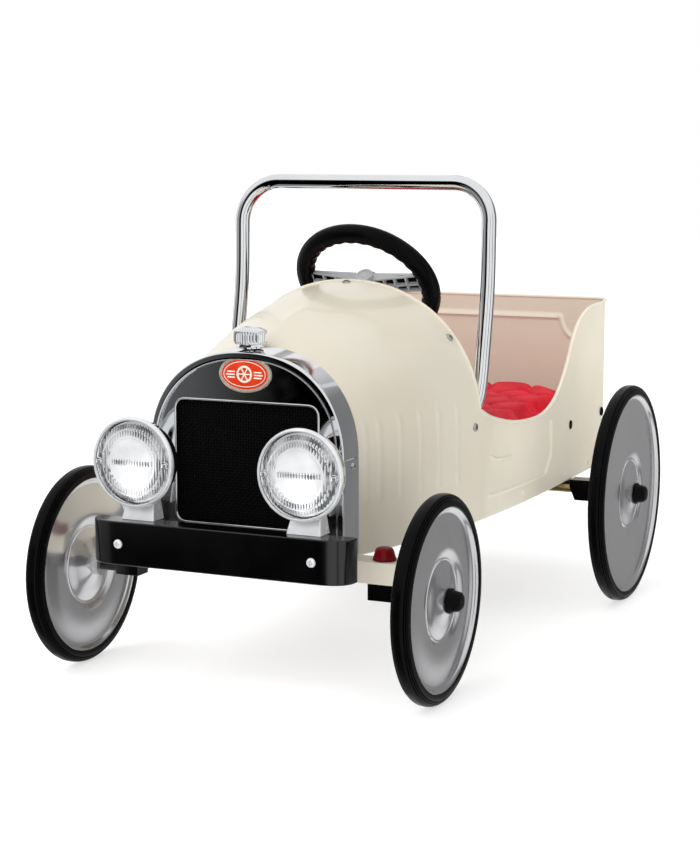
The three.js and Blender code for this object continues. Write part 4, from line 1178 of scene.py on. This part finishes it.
def steering_arms():
    """Two arms, deeper at the hub, with a smooth facet along the top and ribbed pockets below it, floored
    with a thin black sheet as painted shade.
    """
    reach = WHEEL_RING - WHEEL_GRIP + 2.2
    low_hub, low_end, high_hub, high_end = -10.5, -4.5, 9, 16.5
    parts, pocket_shades = [], []
    for sign in (-1, 1):
        end, hub = sign * reach, 0
        parts.append(prism([(2, end, 17), (-3, end, 18), (-3, end, 16), (2, end, 14)],
                           [(2, hub, 15), (-7, hub, 10), (-7, hub, 8), (2, hub, 11)]))
        outline = [(hub, low_hub), (end, low_end), (end, 16), (hub, 13)]
        # Each arm also gets a thin black sheet just under its web. It shows in the pockets between the ribs
        # as painted shade.
        web, recess = [prism(*[[(level, *corner) for corner in outline] for level in levels])
                       for levels in ((3, 0), (-0.1, -0.7))]
        parts.append(web)
        pocket_shades.append(recess)
        edge = end - sign
        parts.append(bar_between((sign * 5, low_hub + 1), (edge, low_end + 1), 6.5, 1.8))
        parts.append(bar_between((sign * 8, -1.5), (edge, 6), 6, 1.6))
        parts.append(bar_between((edge, low_end), (edge, high_end), 5, 1.8))
        for place in (24, 38, 53):
            share = place / reach
            bottom = low_hub + (low_end - low_hub) * share + 1
            ceiling = high_hub + (high_end - high_hub) * share
            parts.append(bar_between((sign * place, bottom), (sign * place, ceiling), 6, 1.8))
    hub = filleted([(-6, 0.01), (-6, 10), (4.6, 15), (6.4, 13.5), (6.4, 0.01)], 1.2, 4)
    parts.append(lathe(hub, 64))
    boss = [(6, 9.8), (16, 10.5), (17, 9.6), (16.6, 8.2), (15, 7.4), (15, 4.6), (15.8, 3.6), (15.8, 0.01)]
    parts.append(lathe(filleted(boss, 0.5, 3), 64, (-2.5, 0, 0), "z"))
    new_piece("steering_arms", [on_column(part) for part in parts], "grey_plastic", "steering",
              stands_for=("steering_wheel_spokes",))
    # The black sheets in the pockets are painted shade; the arms and their pockets are grey plastic.
    new_piece("steering_arm_pocket_shade", [on_column(part) for part in pocket_shades], "black_plastic", "steering")
    cap = filleted([(6.6, 14.6), (8.4, 14.2), (10, 9.5), (10, 0.01)], 1.6, 5)
    new_piece("steering_centre_cap", [on_column(lathe([(6.6, 0.01), *cap], 56))], "grey_plastic", "steering",
              stands_for=("steering_hub_cap",))


steering_grip()
steering_arms()

# ---- Wheels ----
WHEEL_SECTORS = 120
TYRE_GROOVES = (7.2, 9.7, 12.2)  # how far round from each edge of the tread's section
DISC_RING, DISC_VALLEY = 57, 42.5  # radii of the disc's raised ring and of the valley inside it
HUB_RADIUS = 13


def tyre_section(radius, bead, half):
    """A closed section of (along, radius) pairs with three grooves round each shoulder."""
    angle = np.linspace(0, math.pi, 90)
    power = 2 / 2.7
    along = half * np.sign(np.cos(angle)) * np.abs(np.cos(angle)) ** power
    height = bead + (radius - bead) * np.sin(angle) ** power
    section = evenly(np.stack([along, height], axis=1), 96)
    reach = lengths_along(section)
    ways = (reach, reach[-1] - reach)
    depth = sum(np.exp(-((way - place) / 0.55) ** 2) for way in ways for place in TYRE_GROOVES)
    inward = np.array([0, bead]) - section
    inward /= np.linalg.norm(inward, axis=1)[:, None]
    return section + inward * 1.1 * depth[:, None]


def disc_face(radius):
    """The pressed face of a wheel disc, from its rolled rim to its hub."""
    rim = [(3, radius + 0.6), (7.4, radius + 0.4), (8.6, radius - 1), (8.4, radius - 2.6),
           (6.4, radius - 4.6), (4.6, radius - 7)]
    share = np.linspace(0, 1, 14)[1:-1]
    outer, inner = radius - 7, DISC_RING + 2
    annulus = [(4.6 + 2.9 * smooth(t) ** 0.9, outer + (inner - outer) * t) for t in share]
    ring = [(7.7, DISC_RING), (7.6, DISC_RING - 2.5), (6.9, DISC_RING - 6)]
    ring += [(along, DISC_VALLEY + off) for along, off in (
        (5.2, 4.5), (4.2, 2), (4, 1.1), (4.8, 0.5), (4.8, -0.5), (4.1, -1.2), (4.3, -2.4))]
    cone = [(5.8, 36), (7.5, 28), (9.6, 19.5), (11, HUB_RADIUS + 2.5), (11.9, HUB_RADIUS)]
    return [*rim, *annulus, *ring, *cone]


def wheel(end, side, body):
    """A tyre, a disc and an axle cap, drawn for the left side and turned over for the right."""
    sign = SIDES[side]
    low, high = span(f"{end}_tyre_{side}")
    centre = (low + high) / 2
    radius, half = (high - low)[2] / 2, (high - low)[0] / 2
    disc_low, disc_high = span(f"{end}_disc_{side}")
    disc_radius = (disc_high - disc_low)[2] / 2
    tread = tyre_section(radius, disc_radius - 0.8, half)
    new_piece(f"{end}_tyre_moulding_{side}", [lathe(tread * (sign, 1), WHEEL_SECTORS, centre, closed=True)],
              "tyre_rubber", body, stands_for=(f"{end}_tyre_{side}",))
    face = np.array(disc_face(disc_radius))
    hub = [(12.2, 9), (12, 5.3), (-22, 5.3), (-22, 11.5), (-12.5, 11.5)]
    profile = np.concatenate([face, hub, face[::-1] * (-1, 1)])
    new_piece(f"{end}_wheel_disc_{side}", [lathe(profile * (sign, 1), WHEEL_SECTORS, centre, closed=True)],
              "silver_paint", body, stands_for=(f"{end}_disc_{side}",), sharp=50)
    cap_low, cap_high = span(f"{end}_hub_cap_{side}")
    base = abs((cap_low if sign > 0 else cap_high)[0] - centre[0])
    profile = filleted([(base - 0.2, 0.01), (base - 0.2, 13.4), (base + 3.4, 13.4), (base + 4.6, 11.6),
                        (base + 12.6, 10), (base + 14.7, 7.5), (base + 14.7, 0.01)], 1.1, 4)
    new_piece(f"{end}_axle_cap_{side}", [lathe(profile * (sign, 1), 56, centre)], "black_plastic", body,
              stands_for=(f"{end}_hub_cap_{side}",))


for side in SIDES:
    wheel("front", side, f"front_wheel_{side}")
wheel("rear", "left", "crank")
wheel("rear", "right", "rear_wheel_right")

# ---- Axles, chassis and pedals ----
PAD_HALF, PAD_TALL = 8, 50  # half a pedal pad's thickness, and its height
PAD_TREAD, PAD_RIBS = 1.6, 6


def kingpin_caps():
    for side in SIDES:
        low, high = span(f"kingpin_cap_{side}")
        centre = (low + high) / 2
        radius = (high - low)[0] / 2
        base, top = low[2], high[2]
        profile = filleted([(base, 0.01), (base, radius), (base + 2.2, radius), (base + 3, radius - 0.6),
                            (top - 2.5, radius - 3), (top - 0.4, radius - 5), (top, 0.01)], 1.4, 4)

        def flats(along, here, angle):
            faceted = smooth((along - base - 2.6) / 1.2) * smooth((top - 2 - along) / 1.5)
            return here * (1 - 0.035 * faceted * (0.5 + 0.5 * np.cos(10 * angle)))

        new_piece(f"kingpin_dome_{side}", [lathe(profile, 80, (centre[0], centre[1], 0), "z", wave=flats)],
                  "red_plastic", f"knuckle_{side}", stands_for=(f"kingpin_cap_{side}",))


kingpin_caps()
for node, look, bevel in (("front_axle_beam", "cream_paint", 2.2), ("chassis_frame", "black_paint", 1.6),
                          ("dash_crossbar", "black_paint", 0.8), ("column_stay", "black_paint", 0.8),
                          ("pedal_crossbar", "zinc", 0.8), ("seat_pan", "black_paint", 0.6),
                          ("steering_column", "black_paint", 0.8), ("tie_rod", "zinc", 0.8),
                          ("crank_axle", "zinc", 0.8)):
    refined(node, look, bevel)
for side in SIDES:
    for node, look, bevel in (("bumper_arm", "black_paint", 0.8), ("knuckle", "black_paint", 1.2),
                              ("axle_bracket", "black_paint", 2.5), ("pedal_rod", "zinc", 0.8),
                              ("pedal_lever", "black_paint", 0.9)):
        refined(f"{node}_{side}", look, bevel)


def pedal_pads():
    """Rubber blocks with cross treads on both faces, tilted with their levers."""
    across = np.linspace(-1, 1, 61)
    tread = PAD_HALF - PAD_TREAD * (0.5 - 0.5 * np.cos(math.pi * PAD_RIBS * (across + 1)))
    corner = 1 - 0.5 * smooth((np.abs(across) - 0.9) / 0.1)
    side_line = np.stack([tread * corner, across * PAD_TALL / 2], axis=1)
    outline = np.concatenate([side_line, (side_line * (-1, 1))[::-1]])
    for side in SIDES:
        low, high = span(f"pedal_pad_{side}")
        _, pivot = joint("child", f"pedal_{side}")
        arm = (low + high)[1:] / 2 - pivot[1:]
        down = arm / np.linalg.norm(arm)
        level = np.array([-down[1], down[0]])
        rows = []
        for x, scale in ((low[0], 0.86), (low[0] + 2, 1), (high[0] - 2, 1), (high[0], 0.86)):
            ring = outline * (scale, 1 - 0.3 * (1 - scale))
            place = pivot[1:] + arm + ring[:, :1] * level + ring[:, 1:] * down
            rows.append(np.column_stack([np.full(len(ring), x), place]))
        new_piece(f"pedal_block_{side}", [prism(*rows)], "black_plastic", f"pedal_{side}",
                  stands_for=(f"pedal_pad_{side}",), sharp=50)


pedal_pads()

# ---- Screws, rivets and plugs ----


def hood_point(y, z):
    """A point on the hood's left side and the way that it faces there."""
    def reach(y, z):
        half = hood_station(y)[2:SIDE_ROWS + ARCH_ROWS + 1]
        return np.interp(z, half[:, 2], half[:, 0])
    return np.array([reach(y, z), y, z]), np.array([1, (reach(y - 2, z) - reach(y + 2, z)) / 4,
                                                    (reach(y, z - 2) - reach(y, z + 2)) / 4])


def tub_point(y, z):
    plan = tub_plan()
    return np.array([np.interp(y, plan[:160, 1], plan[:160, 0]), y, z]), np.array([1.0, 0, 0])


def on_both_sides(points, radius, **shape):
    """Screw heads at each (place, facing) and at its mirror image."""
    heads = []
    for place, facing in points:
        for sign in SIDES.values():
            flip = np.array([sign, 1, 1])
            heads.append(screw_head(place * flip, facing * flip, radius, **shape))
    return heads


def fasteners():
    crown = hood_station(240)[SIDE_ROWS + ARCH_ROWS]
    scuttle = [hood_point(240, 355), hood_point(238, 254)]
    screws = on_both_sides(scuttle, 5, rise=2.6) + [screw_head(crown, (0, -0.25, 1), 5, rise=2.6)]
    new_piece("scuttle_screws", screws, "screw_steel")
    rivets = [tub_point(381, 156), tub_point(541, 153), hood_point(221, 155), tub_point(640, 153)]
    new_piece("sill_rivets", on_both_sides(rivets, 3.6, cross=False), "cream_paint")
    plugs = [tub_point(558, 215), tub_point(695, 215)]
    new_piece("tub_plugs", on_both_sides(plugs, 6, rise=1.6, cross=False), "black_plastic")
    bumper_front = [(np.array([112.0, BUMPER_LOW[1], 158.5]), np.array([0.0, -1, 0]))]
    new_piece("bumper_screws", on_both_sides(bumper_front, 5), "bright_zinc")
    shell_side = [(np.array([RADIATOR_HIGH[0] + 0.1, 4, 242]), np.array([1.0, 0, 0]))]
    new_piece("radiator_screws", on_both_sides(shell_side, 3.8), "screw_steel")


fasteners()

# ---- Seat ----
TUFT_X, TUFT_Y = 57, 36  # spacing of the tufts across the car, and of their staggered rows along it
CUSHION_LOW, CUSHION_HIGH = span("seat_cushion")
BORDER_ROLL = 40
FAR_ROLL = 6
TUFT_DEPTH, TUFT_REACH = 11, 9
PLEAT_DEPTH, PLEAT_REACH = 6, 4.5
SWELL_ROOM = 7  # how far the swelled cover may stand over its CAD solid
CUSHION_SIDES = 128
CLOTH_REACH = 16


def cushion_start():
    """A slack pad, smaller than the finished cushion: a rounded outline with a low crown."""
    half = (CUSHION_HIGH - CUSHION_LOW)[:2] / 2 - 5
    centre = middle("seat_cushion")[:2]
    round_outline = circle(1, CUSHION_SIDES)
    outline = np.sign(round_outline) * np.abs(round_outline) ** 0.28 * half
    levels = []
    for lift in np.linspace(-1, 1, 22) * math.pi / 2:
        levels.append((1 - 0.06 * (1 - math.cos(lift)), CUSHION_LOW[2] + 12 + 10.5 * math.sin(lift)))
    for share in np.linspace(0.9, 0.05, 12):
        levels.append((0.94 * share, CUSHION_LOW[2] + 22.5 + 3.5 * (1 - share * share)))
    rings = [np.column_stack([centre + outline * scale, np.full(CUSHION_SIDES, z)]) for scale, z in levels]
    return capped(grid(np.array(rings), wrap_columns=True), CUSHION_SIDES)


def tufts():
    """The (x, y) places where the cover is drawn down, in staggered rows."""
    centre_y = middle("seat_cushion")[1]
    half_y = CUSHION_HIGH[1] - centre_y
    rows = int(half_y / TUFT_Y)
    places = []
    for j in range(-rows, rows + 1):
        for i in range(-3, 4):
            x = (i + (0.5 if j % 2 else 0)) * TUFT_X
            if abs(x) < CUSHION_HIGH[0] - 30 and abs(j * TUFT_Y) < half_y - BORDER_ROLL:
                places.append((x, centre_y + j * TUFT_Y))
    return np.array(places)


def tuft_depth(x, y):
    """How far the cover is drawn down at (x, y): deep at a tuft, with pleats from each to its neighbours."""
    places = tufts()
    depth = np.zeros(len(x))
    first, last = places[:, 1].min(), places[:, 1].max()
    for px, py in places:
        depth = np.maximum(depth, TUFT_DEPTH * np.exp(-(np.hypot(x - px, y - py) / TUFT_REACH) ** 2))
        ends = [(px - TUFT_X / 2, py + TUFT_Y), (px + TUFT_X / 2, py + TUFT_Y)]
        if py == last:
            ends = [(px, CUSHION_HIGH[1])]
        if py == first:
            ends.append((px, CUSHION_LOW[1]))
        for end in ends:
            pleat = distance_to([(px, py), end], x, y)
            depth = np.maximum(depth, PLEAT_DEPTH * np.exp(-(pleat / PLEAT_REACH)))
    inside = smooth((CUSHION_HIGH[0] - 6 - np.abs(x)) / 20)
    return depth * (0.25 + 0.75 * inside)


def inflated(piece):
    """Swells the pad as cloth under pressure, keeping every point within reach of its start."""
    remesh = piece.modifiers.new("remesh", "REMESH")
    remesh.mode = "VOXEL"
    remesh.voxel_size = 4.5 * MM
    bake(piece)
    before = np.array([v.co[:] for v in piece.data.vertices])
    cloth = piece.modifiers.new("cloth", "CLOTH")
    cloth.settings.use_pressure = True
    cloth.settings.uniform_pressure_force = 4
    cloth.settings.effector_weights.gravity = 0
    for step in range(1, 21):
        bpy.context.scene.frame_set(step)
    bake(piece)
    bpy.context.scene.frame_set(1)
    ironed = piece.modifiers.new("ironed", "SMOOTH")
    ironed.iterations = 5
    bake(piece)
    moved = np.array([v.co[:] for v in piece.data.vertices]) - before
    reach = np.linalg.norm(moved, axis=1)[:, None]
    return before + moved * np.minimum(1, CLOTH_REACH * MM / np.maximum(reach, 1e-9))


def bake(piece):
    """Applies the piece's modifiers to its mesh."""
    graph = bpy.context.evaluated_depsgraph_get()
    mesh = bpy.data.meshes.new_from_object(piece.evaluated_get(graph))
    piece.modifiers.clear()
    piece.data = mesh


def seat_cushion():
    piece = new_piece("tufted_seat_cushion", [cushion_start()], "red_cloth", sharp=180,
                      stands_for=("seat_cushion",))
    lowest = (CUSHION_LOW + (0, AXLE_Y / MM, 0)) * MM
    highest = (CUSHION_HIGH + (0, AXLE_Y / MM, 6)) * MM
    points = np.clip(inflated(piece), lowest, highest)
    piece.data.vertices.foreach_set("co", points.ravel())
    subdivide = piece.modifiers.new("smooth", "SUBSURF")
    subdivide.levels = 1
    bake(piece)
    points = np.array([v.co[:] for v in piece.data.vertices]) / MM
    lift = smooth((points[:, 2] - CUSHION_LOW[2] - 12) / 12)
    y = points[:, 1] - AXLE_Y / MM
    far_roll = FAR_ROLL * smooth((y - CUSHION_HIGH[1] + 75) / 45)
    points[:, 2] -= lift * (tuft_depth(points[:, 0], y) - far_roll)
    points[:, 2] = np.minimum(points[:, 2], CUSHION_HIGH[2] + SWELL_ROOM)
    piece.data.vertices.foreach_set("co", (points * MM).ravel())
    for polygon in piece.data.polygons:
        polygon.use_smooth = True
    return points


def tuft_buttons(points):
    """A covered button in each tuft, seated on the cushion's surface."""
    parts = []
    for x, y in tufts():
        near = points[np.hypot(points[:, 0] - x, points[:, 1] - AXLE_Y / MM - y) < 5]
        parts.append(screw_head((x, y, near[:, 2].max() - 1.2), (0, 0, 1), 6.5, rise=3, cross=False))
    new_piece("tuft_buttons", parts, "red_cloth")


tuft_buttons(seat_cushion())
